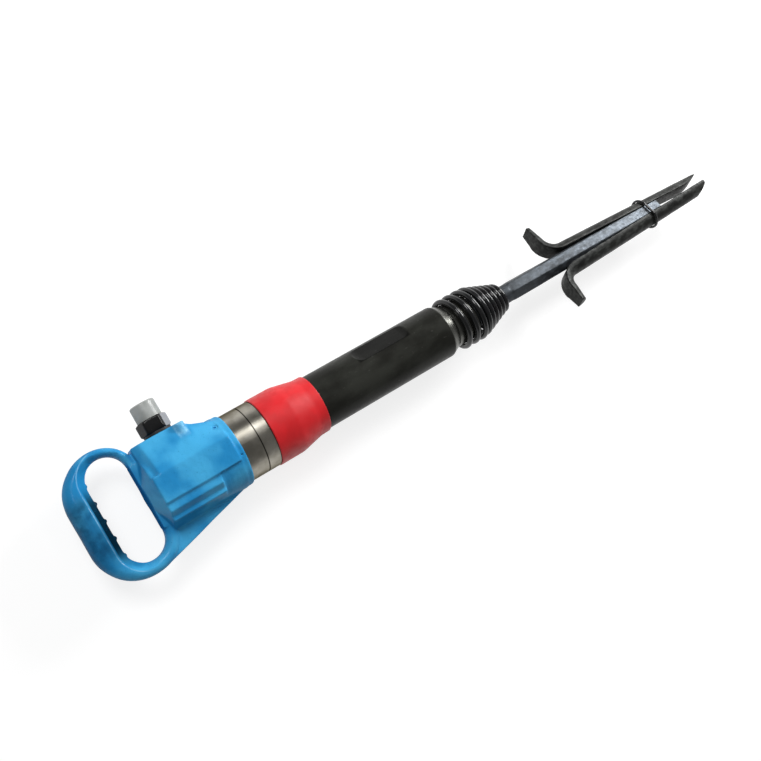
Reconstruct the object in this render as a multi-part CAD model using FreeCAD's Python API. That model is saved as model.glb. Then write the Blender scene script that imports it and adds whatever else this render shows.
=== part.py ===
"""A hand-held pneumatic pick with a closed D handle and a rock-splitting wedge between two feathers.

Millimetres. The tool's axis runs along X, towards the wedge's tip. While the pieces are made, X is zero
at the cylinder's rear face. Y points to the air inlet and Z up, square to the D handle's plane. At the
end every piece is moved so that the origin lies under the middle of the whole, on the plane it rests on.
"""
import FreeCAD
import Part
import math
import os

Vector = FreeCAD.Vector
AXIS_X = Vector(1, 0, 0)
AXIS_Y = Vector(0, 1, 0)
AXIS_Z = Vector(0, 0, 1)
FULL_TURN = 360.0
HALF_TURN = 180.0
QUARTER_TURN = 90.0

# Clearances, and how far a cutting shape runs past what it cuts
SEAT_GAP = 0.3
RUNNING_GAP = 0.05
PRESS_GAP = 0.02
FORM_GAP = 0.3
OVERRUN = 2.0
TOUCH = 1e-6

# How finely a spring's path is worked out and measured
ARCS_PER_TURN = 4
SAMPLES_PER_TURN = 24
TANGENT_STEP_SHARE = 0.001
HEXAGON_SIDES = 6

# Cylinder: head flange, shoulder under the exhaust sleeve, barrel and nose
HEAD_RADIUS = 40.0
HEAD_LENGTH = 16.0
SHOULDER_RADIUS = 36.0
SHOULDER_LENGTH = 36.0
BARREL_RADIUS = 33.0
BARREL_LENGTH = 215.0
NOSE_TAPER_LENGTH = 12.0
NOSE_LENGTH = 31.0
NOSE_RADIUS = 27.5
NOSE_EDGE = 1.0
BORE_RADIUS = 19.0
CHEST_POCKET_DEPTH = 20.0
FLAT_DEPTH = 2.2
FLAT_REAR_FROM_HEAD = 146.0
FLAT_ANGLES = (43.0, 223.0)
FLAT_LENGTH = 75.0
FLAT_CUTTER_RADIUS = 25.0
AIR_PASSAGE_RADIUS = 2.5
AIR_PASSAGE_FROM_CHEST_EDGE = 6.0
AIR_PASSAGE_COUNT = 4
AIR_PASSAGE_LENGTH = 195.0
EXHAUST_PORT_RADIUS = 4.0
EXHAUST_PORT_COUNT = 4
EXHAUST_PORT_FROM_HEAD = 34.0

# Snap ring at the seam between sleeve and cylinder
RING_WIDTH = 2.6
RING_DEPTH = 2.4
RING_BELOW_SURFACE = 0.4
RING_OPENING = 5.0

# Connecting sleeve
SLEEVE_LENGTH = 52.0
SLEEVE_WALL = 9.5
SLEEVE_END_WALL = 6.0
SLEEVE_SHOWING = 21.0
SLEEVE_AIR_HOLE_RADIUS = 5.0
SLEEVE_AIR_PITCH_RADIUS = 18.0
SLEEVE_AIR_HOLE_COUNT = 6
CHEST_IN_SLEEVE = 13.0

# Distributing valve
CHEST_SIDE_WALL = 7.0
COVER_THICKNESS = 9.0
GASKET_THICKNESS = 1.0
PLATE_RADIUS = 20.0
PLATE_THICKNESS = 3.2
PLATE_TRAVEL = 2.0
PLATE_SIDE_GAP = 0.4
COVER_HOLE_RADIUS = 6.0
CHEST_HOLE_RADIUS = 8.0
PIN_RADIUS = 2.0
PIN_FROM_CHEST_EDGE = 3.0
PIN_IN_CYLINDER = 8.0
PIN_COUNT = 2

# Hammer
HAMMER_LENGTH = 90.0
HAMMER_NOSE_RADIUS = 13.0
HAMMER_NOSE_LENGTH = 12.0
HAMMER_GROOVE_DEPTH = 0.8
HAMMER_GROOVE_WIDTH = 2.0
HAMMER_GROOVE_COUNT = 3
HAMMER_GROOVE_PITCH = 18.0
HAMMER_EDGE = 1.0

# Tool bush
BUSH_LENGTH = 80.0
BUSH_RADIUS = 21.0

# Exhaust sleeve
EXHAUST_RADIUS = 41.0
EXHAUST_STRAIGHT_LENGTH = 32.0
EXHAUST_CONE_LENGTH = 26.0
EXHAUST_LIP_LENGTH = 11.0
EXHAUST_LIP_RADIUS = 34.9
EXHAUST_LIP_GAP = 0.7
EXHAUST_LIP_RISE = 0.3
EXHAUST_EDGE = 1.2

# Retaining spring
WIRE_RADIUS = 2.9
SPRING_NECK_GAP = 0.35
SPRING_BACK_OF_NOSE = 1.0
SPRING_PITCH_ON_NOSE = 13.2
SPRING_PITCH_ON_CONE = 8.3
SPRING_TURNS = 9.0
SPRING_TURNS_ON_NOSE = 2.5
SPRING_PITCH_BLEND_TURNS = 1.4
SPRING_CONE_START = 39.0
SPRING_CONE_BLEND = 6.0
SPRING_CONE_SLOPE_SHARE = 0.365

# Splitting wedge
SHANK_RADIUS = 12.0
SHANK_LENGTH = 95.0
SHANK_EDGE = 1.5
COLLAR_RADIUS = 19.5
COLLAR_LENGTH = 12.7
COLLAR_EDGE = 2.5
COLLAR_CONE_LENGTH = 20.0
NECK_RADIUS = 11.9
NECK_LENGTH = 53.0
HEX_ACROSS_FLATS = 23.0
HEX_LENGTH = 48.0
WEDGE_LENGTH = 214.0
WEDGE_TIP_THICKNESS = 11.0
TOOL_ROLL = -20.0

# Feathers
FEATHER_RADIUS = 12.5
FEATHER_GAP = 0.2
UPPER_FEATHER_START = 56.0
LOWER_FEATHER_START = 49.0
FEATHER_BEND_RADIUS = 27.0
EAR_LENGTH = 21.3
EAR_END_RADIUS = 9.0
UPPER_FEATHER_LENGTH = 240.0
LOWER_FEATHER_LENGTH = 249.0
UPPER_TIP_BEVEL = 33.0
UPPER_TIP_BLUNT = 4.5
LOWER_TIP_BEVEL = 20.0
LOWER_TIP_BLUNT = 5.0
HOOP_WIRE_RADIUS = 1.6
HOOP_GAP = 0.35
HOOP_FROM_WEDGE_TIP = 20.0
HOOP_TILT = 5.0

# Handle: D loop
GRIP_DEPTH = 30.0
HOLE_LENGTH = 47.0
HOLE_WIDTH = 122.0
HOLE_CENTRE_Y = 2.4
UPPER_ARM = 9.6
LOWER_ARM = 13.7
LOOP_CORNER_RADIUS = 49.0
LOOP_FRONT_RADIUS = 38.7
LOOP_HALF_HEIGHT = 14.5
ARM_HALF_HEIGHT = 11.5
SECTION_FULLNESS_SHARE = 0.76
LOOP_SECTION_COUNT = 12
REAR_WALL = 11.0
FINGER_RIB_COUNT = 5
FINGER_RIB_PITCH = 20.5
FINGER_RIB_WIDTH = 3.0
FINGER_RIB_HEIGHT = 2.0

# Handle: body, collar, boss, terraces and web
HANDLE_WALL = 3.0
BODY_LENGTH = 109.0
BODY_REAR_RADIUS = 15.0
BODY_REAR_SLOPE = 9.5
COLLAR_BAND_LENGTH = 8.0
COLLAR_BAND_STEP = 0.6
COLLAR_BAND_EDGE = 1.0
TERRACE_LENGTH = 64.0
PANEL_HEIGHT = 44.5
PANEL_UPPER_Y = 16.0
PANEL_LOWER_Y = -14.0
STEP_HEIGHT = 3.7
STEP_RUN = 2.8
FIRST_TREAD_END_Y = -24.2
SECOND_STEP_RUN = 6.0
SECOND_STEP_HEIGHT = 8.3
SECOND_TREAD_END_Y = -34.6
BOSS_FACE_Y = 55.0
BOSS_HALF_HEIGHT = 20.0
BOSS_LENGTH = 46.0
BOSS_FRONT_TO_COLLAR = 44.0
BOSS_FRONT_SLOPE = 12.7
BOSS_FRONT_DROP = 7.8
BOSS_REAR_SINK = 12.0
BOSS_EDGE_SINK_SHARE = 0.4
LUG_RADIUS = 6.5
LUG_HEIGHT = 22.0
LUG_SHORT_OF_FACE = 0.5
WEB_HALF_THICKNESS = 5.5
WEB_LOWER_FRONT_Y = -41.5
WEB_SLOPE_DEGREES = 13.8

# Handle: spring chamber, throttle and lock screws
HANDLE_TRAVEL = 8.0
CHAMBER_LENGTH = 18.0
SCREW_RADIUS = 3.0
SCREW_FROM_COLLAR = 13.0
SCREW_IN_SLOT = 4.0
SCREW_ANGLES = (44.0, 224.0)
SLOT_GAP = 0.3
SOCKET_RADIUS = 1.6
SOCKET_DEPTH = 2.0
SEAL_RING_RADIUS = 1.5
SEAL_FROM_COLLAR = 5.0
HANDLE_WIRE_RADIUS = 1.9
HANDLE_COIL_RADIUS = 29.0
HANDLE_COIL_TURNS = 2.25
THROTTLE_BUSH_RADIUS = 17.0
THROTTLE_BUSH_LENGTH = 46.0
THROTTLE_BORE_RADIUS = 10.0
THROTTLE_SEAT_LENGTH = 9.0
THROTTLE_SEAT_RADIUS = 7.0
POPPET_THICKNESS = 4.0
STEM_RADIUS = 5.0
TAIL_RADIUS = 4.0
TAIL_LENGTH = 10.0
THROTTLE_PORT_RADIUS = 5.0
THROTTLE_PORT_BEHIND_SEAT = 10.0
THROTTLE_WIRE_RADIUS = 0.8
THROTTLE_COIL_RADIUS = 7.0
THROTTLE_COIL_TURNS = 6.0

# Air inlet
INLET_TO_COLLAR = 63.0
INLET_BORE_RADIUS = 8.0
NIPPLE_THREAD_RADIUS = 12.0
NIPPLE_THREAD_LENGTH = 20.0
SEAL_RADIUS = 16.0
SEAL_THICKNESS = 3.4
NUT_ACROSS_FLATS = 32.0
NUT_HEIGHT = 15.0
NUT_CHAMFER = 2.2
NUT_TURN = 9.4
SPOUT_RADIUS = 12.0
SPOUT_LENGTH = 16.5
CAP_RADIUS = 14.5
CAP_HEIGHT = 19.4
CAP_EDGE = 2.0
STRAINER_LENGTH = 12.0
STRAINER_WALL = 1.0
STRAINER_RADIUS = 7.0
STRAINER_HOLE_RADIUS = 1.2
STRAINER_ROWS = 2
STRAINER_HOLES_ACROSS = 3
STRAINER_ROW_PITCH = 4.0

# Stations along the axis
x_head_front = HEAD_LENGTH
x_shoulder_front = x_head_front + SHOULDER_LENGTH
x_barrel_front = x_shoulder_front + BARREL_LENGTH
x_nose_rear = x_barrel_front + NOSE_TAPER_LENGTH
x_nose_front = x_nose_rear + NOSE_LENGTH
x_bush_rear = x_nose_front - BUSH_LENGTH
x_collar_rear = x_nose_front + SEAT_GAP
x_shank_rear = x_collar_rear - SHANK_LENGTH
x_collar_front = x_collar_rear + COLLAR_LENGTH
x_neck_front = x_collar_front + NECK_LENGTH
x_wedge_start = x_neck_front + HEX_LENGTH
x_wedge_tip = x_wedge_start + WEDGE_LENGTH
x_hammer_front = x_shank_rear - SEAT_GAP
x_hammer_rear = x_hammer_front - HAMMER_LENGTH
x_sleeve_rear = -SLEEVE_LENGTH
x_collar_end = -SLEEVE_SHOWING
x_body_rear = x_collar_end - BODY_LENGTH
x_hole_front = x_body_rear
x_hole_rear = x_hole_front - HOLE_LENGTH
x_grip_rear = x_hole_rear - GRIP_DEPTH
x_chamber_rear = x_sleeve_rear - CHAMBER_LENGTH
x_throttle_bush_rear = x_chamber_rear - THROTTLE_BUSH_LENGTH
x_throttle_seat = x_chamber_rear - THROTTLE_SEAT_LENGTH
x_inlet = x_collar_end - INLET_TO_COLLAR
x_boss_front = x_collar_end - BOSS_FRONT_TO_COLLAR
x_boss_rear = x_boss_front - BOSS_LENGTH
x_band = x_collar_end - COLLAR_BAND_LENGTH
x_cover_rear = -CHEST_IN_SLEEVE
x_chest_rear = x_cover_rear + COVER_THICKNESS
x_chest_front = CHEST_POCKET_DEPTH - GASKET_THICKNESS
coil_radius = NOSE_RADIUS + FORM_GAP + WIRE_RADIUS
chest_radius = HEAD_RADIUS - CHEST_SIDE_WALL
pin_pitch_radius = chest_radius - PIN_FROM_CHEST_EDGE
air_passage_pitch_radius = chest_radius - AIR_PASSAGE_FROM_CHEST_EDGE
sleeve_radius = HEAD_RADIUS
body_radius = sleeve_radius + HANDLE_WALL
collar_band_radius = body_radius - COLLAR_BAND_STEP

# Stations along the air inlet
y_thread_end = BOSS_FACE_Y - NIPPLE_THREAD_LENGTH
y_nut = BOSS_FACE_Y + SEAL_THICKNESS
y_nut_top = y_nut + NUT_HEIGHT
y_spout = y_nut_top + SPOUT_LENGTH


def turned(points):
    """A solid turned about the X axis from (x, radius) points in order."""
    corners = [Vector(x, r, 0) for x, r in points]
    face = Part.Face(Part.makePolygon(corners + corners[:1]))
    return face.revolve(Vector(0, 0, 0), AXIS_X, FULL_TURN)


def rod(x_from, x_to, radius):
    """A round bar along X."""
    return Part.makeCylinder(radius, x_to - x_from, Vector(x_from, 0, 0), AXIS_X)


def slab(x_from, x_to, y_from, y_to, z_from, z_to):
    """A block between two corners."""
    corner = Vector(x_from, y_from, z_from)
    return Part.makeBox(x_to - x_from, y_to - y_from, z_to - z_from, corner)


def around_axis(x, radius, degrees):
    """The point at a radius and an angle round X, counted from +Y towards +Z."""
    angle = math.radians(degrees)
    return Vector(x, radius * math.cos(angle), radius * math.sin(angle))


def spokes(count, first=0.0):
    """Evenly spaced angles in degrees."""
    return [first + FULL_TURN * i / count for i in range(count)]


def drilled_ring(x_from, x_to, pitch_radius, radius, angles):
    """Parallel holes on a circle round X, as one cutting shape."""
    holes = []
    for degrees in angles:
        start = around_axis(x_from, pitch_radius, degrees)
        holes.append(Part.makeCylinder(radius, x_to - x_from, start, AXIS_X))
    return Part.makeCompound(holes)


def ramp(value, start, blend):
    """Zero before start, then a straight climb of one in one, joined by a smooth bend of length blend."""
    past = value - start
    if past <= 0:
        return 0.0
    if past < blend:
        return past * past / (2 * blend)
    return past - blend / 2


def arc_edge(first, last, tangent):
    """The arc from first to last that leaves along tangent."""
    chord = last - first
    along = Vector(chord).normalize()
    side = tangent - along * tangent.dot(along)
    middle = (first + last) * 0.5
    if side.Length < TOUCH:
        return Part.LineSegment(first, last).toShape()
    half_angle = math.atan2(side.Length, tangent.dot(along))
    rise = chord.Length * math.tan(half_angle / 2) / 2
    return Part.Arc(first, middle + side.normalize() * rise, last).toShape()


def biarc(p1, t1, p2, t2):
    """Two arcs from p1 to p2 that keep both end tangents."""
    v = p2 - p1
    t = t1 + t2
    bend = 2 * (1 - t1.dot(t2))
    d = (-v.dot(t) + math.sqrt(v.dot(t) ** 2 + bend * v.dot(v))) / bend
    joint = (p1 + p2 + (t1 - t2) * d) * 0.5
    joint_tangent = ((p2 - t2 * d) - (p1 + t1 * d)).normalize()
    return [arc_edge(p1, joint, t1), arc_edge(joint, p2, joint_tangent)]


def coil(place, turns, wire_radius, name):
    """A wire tube along place(turn), a curve that winds round X, in quarter turns of two arcs each."""
    step = 1.0 / ARCS_PER_TURN
    small = step * TANGENT_STEP_SHARE
    count = int(round(turns * ARCS_PER_TURN))
    spots = [i * step for i in range(count + 1)]
    points = [place(t) for t in spots]
    tangents = [(place(t + small) - place(t - small)).normalize() for t in spots]
    edges = []
    for i in range(count):
        edges += biarc(points[i], tangents[i], points[i + 1], tangents[i + 1])
    section = Part.Wire([Part.makeCircle(wire_radius, points[0], tangents[0])])
    shell = Part.BRepOffsetAPI.MakePipeShell(Part.Wire(edges))
    shell.add(section)
    shell.build()
    shell.makeSolid()
    line = [place(i / SAMPLES_PER_TURN) for i in range(int(turns * SAMPLES_PER_TURN) + 1)]
    gap = min(
        (line[i] - line[j]).Length - 2 * wire_radius
        for i in range(len(line))
        for j in range(i + SAMPLES_PER_TURN // 2, len(line))
    )
    print("least gap of", name, "to itself:", round(gap, 2), "mm")
    return shell.shape()


def helix_point(x, radius, turn):
    """The point of a coil at a count of turns."""
    return around_axis(x, radius, turn * FULL_TURN)


def make_cylinder():
    """Head flange, shoulder, black barrel and nose, bored through, in one forging."""
    body = turned([
        (0, 0),
        (0, HEAD_RADIUS),
        (x_head_front, HEAD_RADIUS),
        (x_head_front, SHOULDER_RADIUS),
        (x_shoulder_front, SHOULDER_RADIUS),
        (x_shoulder_front, BARREL_RADIUS),
        (x_barrel_front, BARREL_RADIUS),
        (x_nose_rear, NOSE_RADIUS),
        (x_nose_front - NOSE_EDGE, NOSE_RADIUS),
        (x_nose_front, NOSE_RADIUS - NOSE_EDGE),
        (x_nose_front, 0),
    ])
    cuts = [
        rod(-OVERRUN, CHEST_POCKET_DEPTH, chest_radius + RUNNING_GAP),
        rod(0, x_nose_front, BORE_RADIUS),
        rod(x_bush_rear, x_nose_front + OVERRUN, BUSH_RADIUS + PRESS_GAP),
        ring_groove(0, RING_WIDTH),
    ]
    passage_end = CHEST_POCKET_DEPTH + AIR_PASSAGE_LENGTH
    angles = spokes(AIR_PASSAGE_COUNT, HALF_TURN / AIR_PASSAGE_COUNT)
    cuts.append(drilled_ring(0, passage_end, air_passage_pitch_radius, AIR_PASSAGE_RADIUS, angles))
    x_port = passage_end - AIR_PASSAGE_RADIUS
    for degrees in angles:
        start = around_axis(x_port, BORE_RADIUS / 2, degrees)
        way = around_axis(0, 1, degrees)
        length = air_passage_pitch_radius - BORE_RADIUS / 2
        cuts.append(Part.makeCylinder(AIR_PASSAGE_RADIUS, length, start, way))
    for degrees in spokes(EXHAUST_PORT_COUNT):
        start = around_axis(EXHAUST_PORT_FROM_HEAD, BORE_RADIUS / 2, degrees)
        way = around_axis(0, 1, degrees)
        cuts.append(Part.makeCylinder(EXHAUST_PORT_RADIUS, HEAD_RADIUS, start, way))
    cuts += [pin_holes(CHEST_POCKET_DEPTH, CHEST_POCKET_DEPTH + PIN_IN_CYLINDER + SEAT_GAP)]
    cuts += [spanner_flat(degrees) for degrees in FLAT_ANGLES]
    return body.cut(cuts)


def spanner_flat(degrees):
    """What the cutter takes from one side of the barrel, with run-outs of the cutter's own radius."""
    floor = BARREL_RADIUS - FLAT_DEPTH
    lift = FLAT_CUTTER_RADIUS - FLAT_DEPTH
    run_out = math.sqrt(FLAT_CUTTER_RADIUS ** 2 - lift ** 2)
    x_from = FLAT_REAR_FROM_HEAD + run_out
    x_to = FLAT_REAR_FROM_HEAD + FLAT_LENGTH - run_out
    y_centre = floor + FLAT_CUTTER_RADIUS
    block = slab(x_from, x_to, floor, y_centre, -BARREL_RADIUS, BARREL_RADIUS)
    ends = []
    for x in (x_from, x_to):
        start = Vector(x, y_centre, -BARREL_RADIUS)
        ends.append(Part.makeCylinder(FLAT_CUTTER_RADIUS, 2 * BARREL_RADIUS, start, AXIS_Z))
    shape = block.fuse(ends)
    shape.rotate(Vector(0, 0, 0), AXIS_X, degrees)
    return shape


def ring_groove(x_from, x_to):
    """The groove that the snap ring lies in."""
    outer = rod(x_from, x_to, HEAD_RADIUS + OVERRUN)
    return outer.cut(rod(x_from - OVERRUN, x_to + OVERRUN, HEAD_RADIUS - RING_DEPTH - RING_BELOW_SURFACE))


def make_snap_ring():
    """An open flat ring in the groove at the seam."""
    inner = HEAD_RADIUS - RING_DEPTH - RING_BELOW_SURFACE + PRESS_GAP
    outer = HEAD_RADIUS - RING_BELOW_SURFACE
    x_from = PRESS_GAP
    x_to = RING_WIDTH - PRESS_GAP
    ring = rod(x_from, x_to, outer).cut(rod(x_from - OVERRUN, x_to + OVERRUN, inner))
    gap = slab(x_from - OVERRUN, x_to + OVERRUN, -RING_OPENING / 2, RING_OPENING / 2, -HEAD_RADIUS, 0)
    return ring.cut(gap)


def make_connecting_sleeve():
    """The turned steel sleeve that carries the handle and holds the valve chest against the cylinder."""
    x_floor = x_sleeve_rear + SLEEVE_END_WALL
    body = rod(x_sleeve_rear, 0, sleeve_radius)
    cuts = [
        rod(x_floor, 0, sleeve_radius - SLEEVE_WALL),
        rod(x_cover_rear, OVERRUN, chest_radius + RUNNING_GAP),
        drilled_ring(
            x_sleeve_rear - OVERRUN,
            x_floor + OVERRUN,
            SLEEVE_AIR_PITCH_RADIUS,
            SLEEVE_AIR_HOLE_RADIUS,
            spokes(SLEEVE_AIR_HOLE_COUNT),
        ),
    ]
    x_screw = x_collar_end - SCREW_FROM_COLLAR
    half = SCREW_RADIUS + SLOT_GAP
    floor = sleeve_radius - SCREW_IN_SLOT - SLOT_GAP
    for degrees in SCREW_ANGLES:
        way = around_axis(0, 1, degrees)
        for x in (x_screw, x_screw + HANDLE_TRAVEL):
            start = around_axis(x, floor, degrees)
            cuts.append(Part.makeCylinder(half, sleeve_radius, start, way))
        block = slab(x_screw, x_screw + HANDLE_TRAVEL, floor, floor + sleeve_radius, -half, half)
        block.rotate(Vector(0, 0, 0), AXIS_X, degrees)
        cuts.append(block)
    return body.cut(cuts)


def pin_holes(x_from, x_to):
    """Holes for the locating pins."""
    angles = spokes(PIN_COUNT)
    return drilled_ring(x_from, x_to, pin_pitch_radius, PIN_RADIUS + PRESS_GAP, angles)


def passages(x_from, x_to):
    """The front passages where they cross the chest."""
    angles = spokes(AIR_PASSAGE_COUNT, HALF_TURN / AIR_PASSAGE_COUNT)
    return drilled_ring(x_from, x_to, air_passage_pitch_radius, AIR_PASSAGE_RADIUS, angles)


def make_valve_cover():
    """The rear half of the valve chest, with the air's way in."""
    body = rod(x_cover_rear, x_chest_rear, chest_radius)
    return body.cut([
        rod(x_cover_rear - OVERRUN, x_chest_rear + OVERRUN, COVER_HOLE_RADIUS),
        passages(x_cover_rear - OVERRUN, x_chest_rear + OVERRUN),
        pin_holes(x_cover_rear + COVER_THICKNESS / 2, x_chest_rear + OVERRUN),
    ])


def plate_room():
    """The length of the room that the valve plate flips in."""
    return PLATE_THICKNESS + PLATE_TRAVEL + 2 * SEAT_GAP


def make_valve_chest():
    """The front half of the chest, with the plate's room and the way to the hammer."""
    body = rod(x_chest_rear, x_chest_front, chest_radius)
    return body.cut([
        rod(x_chest_rear - OVERRUN, x_chest_rear + plate_room(), PLATE_RADIUS + PLATE_SIDE_GAP),
        rod(x_chest_rear, x_chest_front + OVERRUN, CHEST_HOLE_RADIUS),
        passages(x_chest_rear - OVERRUN, x_chest_front + OVERRUN),
        pin_holes(x_chest_rear - OVERRUN, x_chest_front + OVERRUN),
    ])


def make_valve_plate():
    """The disc that flips between its two seats."""
    start = x_chest_rear + SEAT_GAP
    return rod(start, start + PLATE_THICKNESS, PLATE_RADIUS)


def make_chest_gasket():
    """The flat ring between chest and cylinder."""
    body = rod(x_chest_front, CHEST_POCKET_DEPTH, chest_radius)
    return body.cut([
        rod(x_chest_front - OVERRUN, CHEST_POCKET_DEPTH + OVERRUN, BORE_RADIUS),
        passages(x_chest_front - OVERRUN, CHEST_POCKET_DEPTH + OVERRUN),
        pin_holes(x_chest_front - OVERRUN, CHEST_POCKET_DEPTH + OVERRUN),
    ])


def make_locating_pins():
    """Two pins through chest and gasket into the cylinder."""
    x_from = x_cover_rear + COVER_THICKNESS / 2 + SEAT_GAP
    x_to = CHEST_POCKET_DEPTH + PIN_IN_CYLINDER
    pins = []
    for degrees in spokes(PIN_COUNT):
        start = around_axis(x_from, pin_pitch_radius, degrees)
        pins.append(Part.makeCylinder(PIN_RADIUS, x_to - x_from, start, AXIS_X))
    return Part.makeCompound(pins)


def make_hammer():
    """The piston, with oil grooves and a smaller striking face."""
    radius = BORE_RADIUS - RUNNING_GAP
    nose_start = x_hammer_front - HAMMER_NOSE_LENGTH
    points = [
        (x_hammer_rear, 0),
        (x_hammer_rear, radius - HAMMER_EDGE),
        (x_hammer_rear + HAMMER_EDGE, radius),
    ]
    for i in range(HAMMER_GROOVE_COUNT):
        x = x_hammer_rear + (i + 1) * HAMMER_GROOVE_PITCH
        points += [(x, radius), (x, radius - HAMMER_GROOVE_DEPTH)]
        x += HAMMER_GROOVE_WIDTH
        points += [(x, radius - HAMMER_GROOVE_DEPTH), (x, radius)]
    points += [
        (nose_start, radius),
        (nose_start, HAMMER_NOSE_RADIUS),
        (x_hammer_front - HAMMER_EDGE, HAMMER_NOSE_RADIUS),
        (x_hammer_front, HAMMER_NOSE_RADIUS - HAMMER_EDGE),
        (x_hammer_front, 0),
    ]
    return turned(points)


def make_tool_bush():
    """The hardened bush that guides the shank."""
    body = rod(x_bush_rear, x_nose_front, BUSH_RADIUS)
    return body.cut(rod(x_bush_rear - OVERRUN, x_nose_front + OVERRUN, SHANK_RADIUS + RUNNING_GAP))


def make_exhaust_sleeve():
    """The red sleeve: it grips the shoulder and leads the exhaust out round the barrel."""
    x_rear = x_head_front
    x_cone = x_rear + EXHAUST_STRAIGHT_LENGTH
    x_lip = x_cone + EXHAUST_CONE_LENGTH
    x_end = x_lip + EXHAUST_LIP_LENGTH
    seat = SHOULDER_RADIUS + RUNNING_GAP
    throat = BARREL_RADIUS + EXHAUST_LIP_GAP
    return turned([
        (x_rear, seat),
        (x_rear, EXHAUST_RADIUS - EXHAUST_EDGE),
        (x_rear + EXHAUST_EDGE, EXHAUST_RADIUS),
        (x_cone, EXHAUST_RADIUS),
        (x_lip, EXHAUST_LIP_RADIUS + EXHAUST_LIP_RISE),
        (x_end - EXHAUST_LIP_RISE, EXHAUST_LIP_RADIUS),
        (x_end, EXHAUST_LIP_RADIUS - EXHAUST_LIP_RISE),
        (x_end, throat),
        (x_shoulder_front, throat),
        (x_shoulder_front, seat),
    ])


def spring_centre(turn):
    """The retaining spring's centre line: even turns on the nose, then a cone that closes on the neck."""
    drop = SPRING_PITCH_ON_NOSE - SPRING_PITCH_ON_CONE
    x = x_nose_rear + WIRE_RADIUS - SPRING_BACK_OF_NOSE + SPRING_PITCH_ON_NOSE * turn
    x -= drop * ramp(turn, SPRING_TURNS_ON_NOSE, SPRING_PITCH_BLEND_TURNS)
    cone_start = x_nose_rear + SPRING_CONE_START
    fall = coil_radius - (NECK_RADIUS + SPRING_NECK_GAP + WIRE_RADIUS)
    cone_length = fall / SPRING_CONE_SLOPE_SHARE
    run = ramp(x, cone_start, SPRING_CONE_BLEND) - ramp(x, cone_start + cone_length, SPRING_CONE_BLEND)
    return helix_point(x, coil_radius - SPRING_CONE_SLOPE_SHARE * run, turn)


def make_retaining_spring():
    """The conical spring that keeps the tool in the pick."""
    return coil(spring_centre, SPRING_TURNS, WIRE_RADIUS, "retaining_spring")


def corner_radius(across_flats):
    """How far a hexagon's corners are from its middle."""
    return across_flats / (2 * math.cos(math.pi / HEXAGON_SIDES))


def wedge_half_thickness(x):
    """Half the wedge's thickness at a station."""
    full = corner_radius(HEX_ACROSS_FLATS)
    tip = WEDGE_TIP_THICKNESS / 2
    return full + (tip - full) * (x - x_wedge_start) / WEDGE_LENGTH


def wedge_angle():
    """Half the wedge's angle, in degrees."""
    drop = wedge_half_thickness(x_wedge_start) - wedge_half_thickness(x_wedge_tip)
    return math.degrees(math.atan2(drop, WEDGE_LENGTH))


def hexagon(x, across_flats):
    """A hexagonal wire square to X, with two corners on the Y axis."""
    corner = corner_radius(across_flats)
    points = [around_axis(x, corner, degrees) for degrees in spokes(HEXAGON_SIDES)]
    return Part.makePolygon(points + points[:1])


def make_splitting_wedge():
    """Shank, collar and round neck, then hexagonal steel cut to a wedge across its corners."""
    round_part = turned([
        (x_shank_rear, 0),
        (x_shank_rear, SHANK_RADIUS - SHANK_EDGE),
        (x_shank_rear + SHANK_EDGE, SHANK_RADIUS),
        (x_collar_rear, SHANK_RADIUS),
        (x_collar_rear, COLLAR_RADIUS - SHANK_EDGE),
        (x_collar_rear + SHANK_EDGE, COLLAR_RADIUS),
        (x_collar_front - COLLAR_EDGE, COLLAR_RADIUS),
        (x_collar_front, COLLAR_RADIUS - COLLAR_EDGE),
        (x_collar_front + COLLAR_CONE_LENGTH, NECK_RADIUS),
        (x_neck_front + OVERRUN, NECK_RADIUS),
        (x_neck_front + OVERRUN, 0),
    ])
    steel = Part.Face(hexagon(x_neck_front, HEX_ACROSS_FLATS))
    steel = steel.extrude(Vector(x_wedge_tip - x_neck_front, 0, 0))
    corner = corner_radius(HEX_ACROSS_FLATS)
    shoulder = turned([
        (x_neck_front, 0),
        (x_neck_front, NECK_RADIUS),
        (x_neck_front + 2 * (corner - NECK_RADIUS), corner),
        (x_wedge_tip, corner),
        (x_wedge_tip, 0),
    ])
    steel = steel.common(shoulder)
    cuts = []
    tip = wedge_half_thickness(x_wedge_tip)
    beyond = x_wedge_tip + OVERRUN
    low = wedge_half_thickness(beyond)
    for side in (1, -1):
        outline = [
            Vector(x_wedge_start, side * corner, -corner),
            Vector(beyond, side * low, -corner),
            Vector(beyond, side * (corner + tip), -corner),
            Vector(x_wedge_start, side * (corner + tip), -corner),
        ]
        face = Part.Face(Part.makePolygon(outline + outline[:1]))
        cuts.append(face.extrude(Vector(0, 0, 2 * corner)))
    shape = round_part.fuse(steel.cut(cuts)).removeSplitter()
    shape.rotate(Vector(0, 0, 0), AXIS_X, TOOL_ROLL)
    return shape


def half_round(radius):
    """A half-round face across X at the origin, flat side down on Y zero."""
    left = Vector(0, 0, -radius)
    right = Vector(0, 0, radius)
    crown = Vector(0, radius, 0)
    return Part.Wire([Part.LineSegment(left, right).toShape(), Part.Arc(right, crown, left).toShape()])


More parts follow.
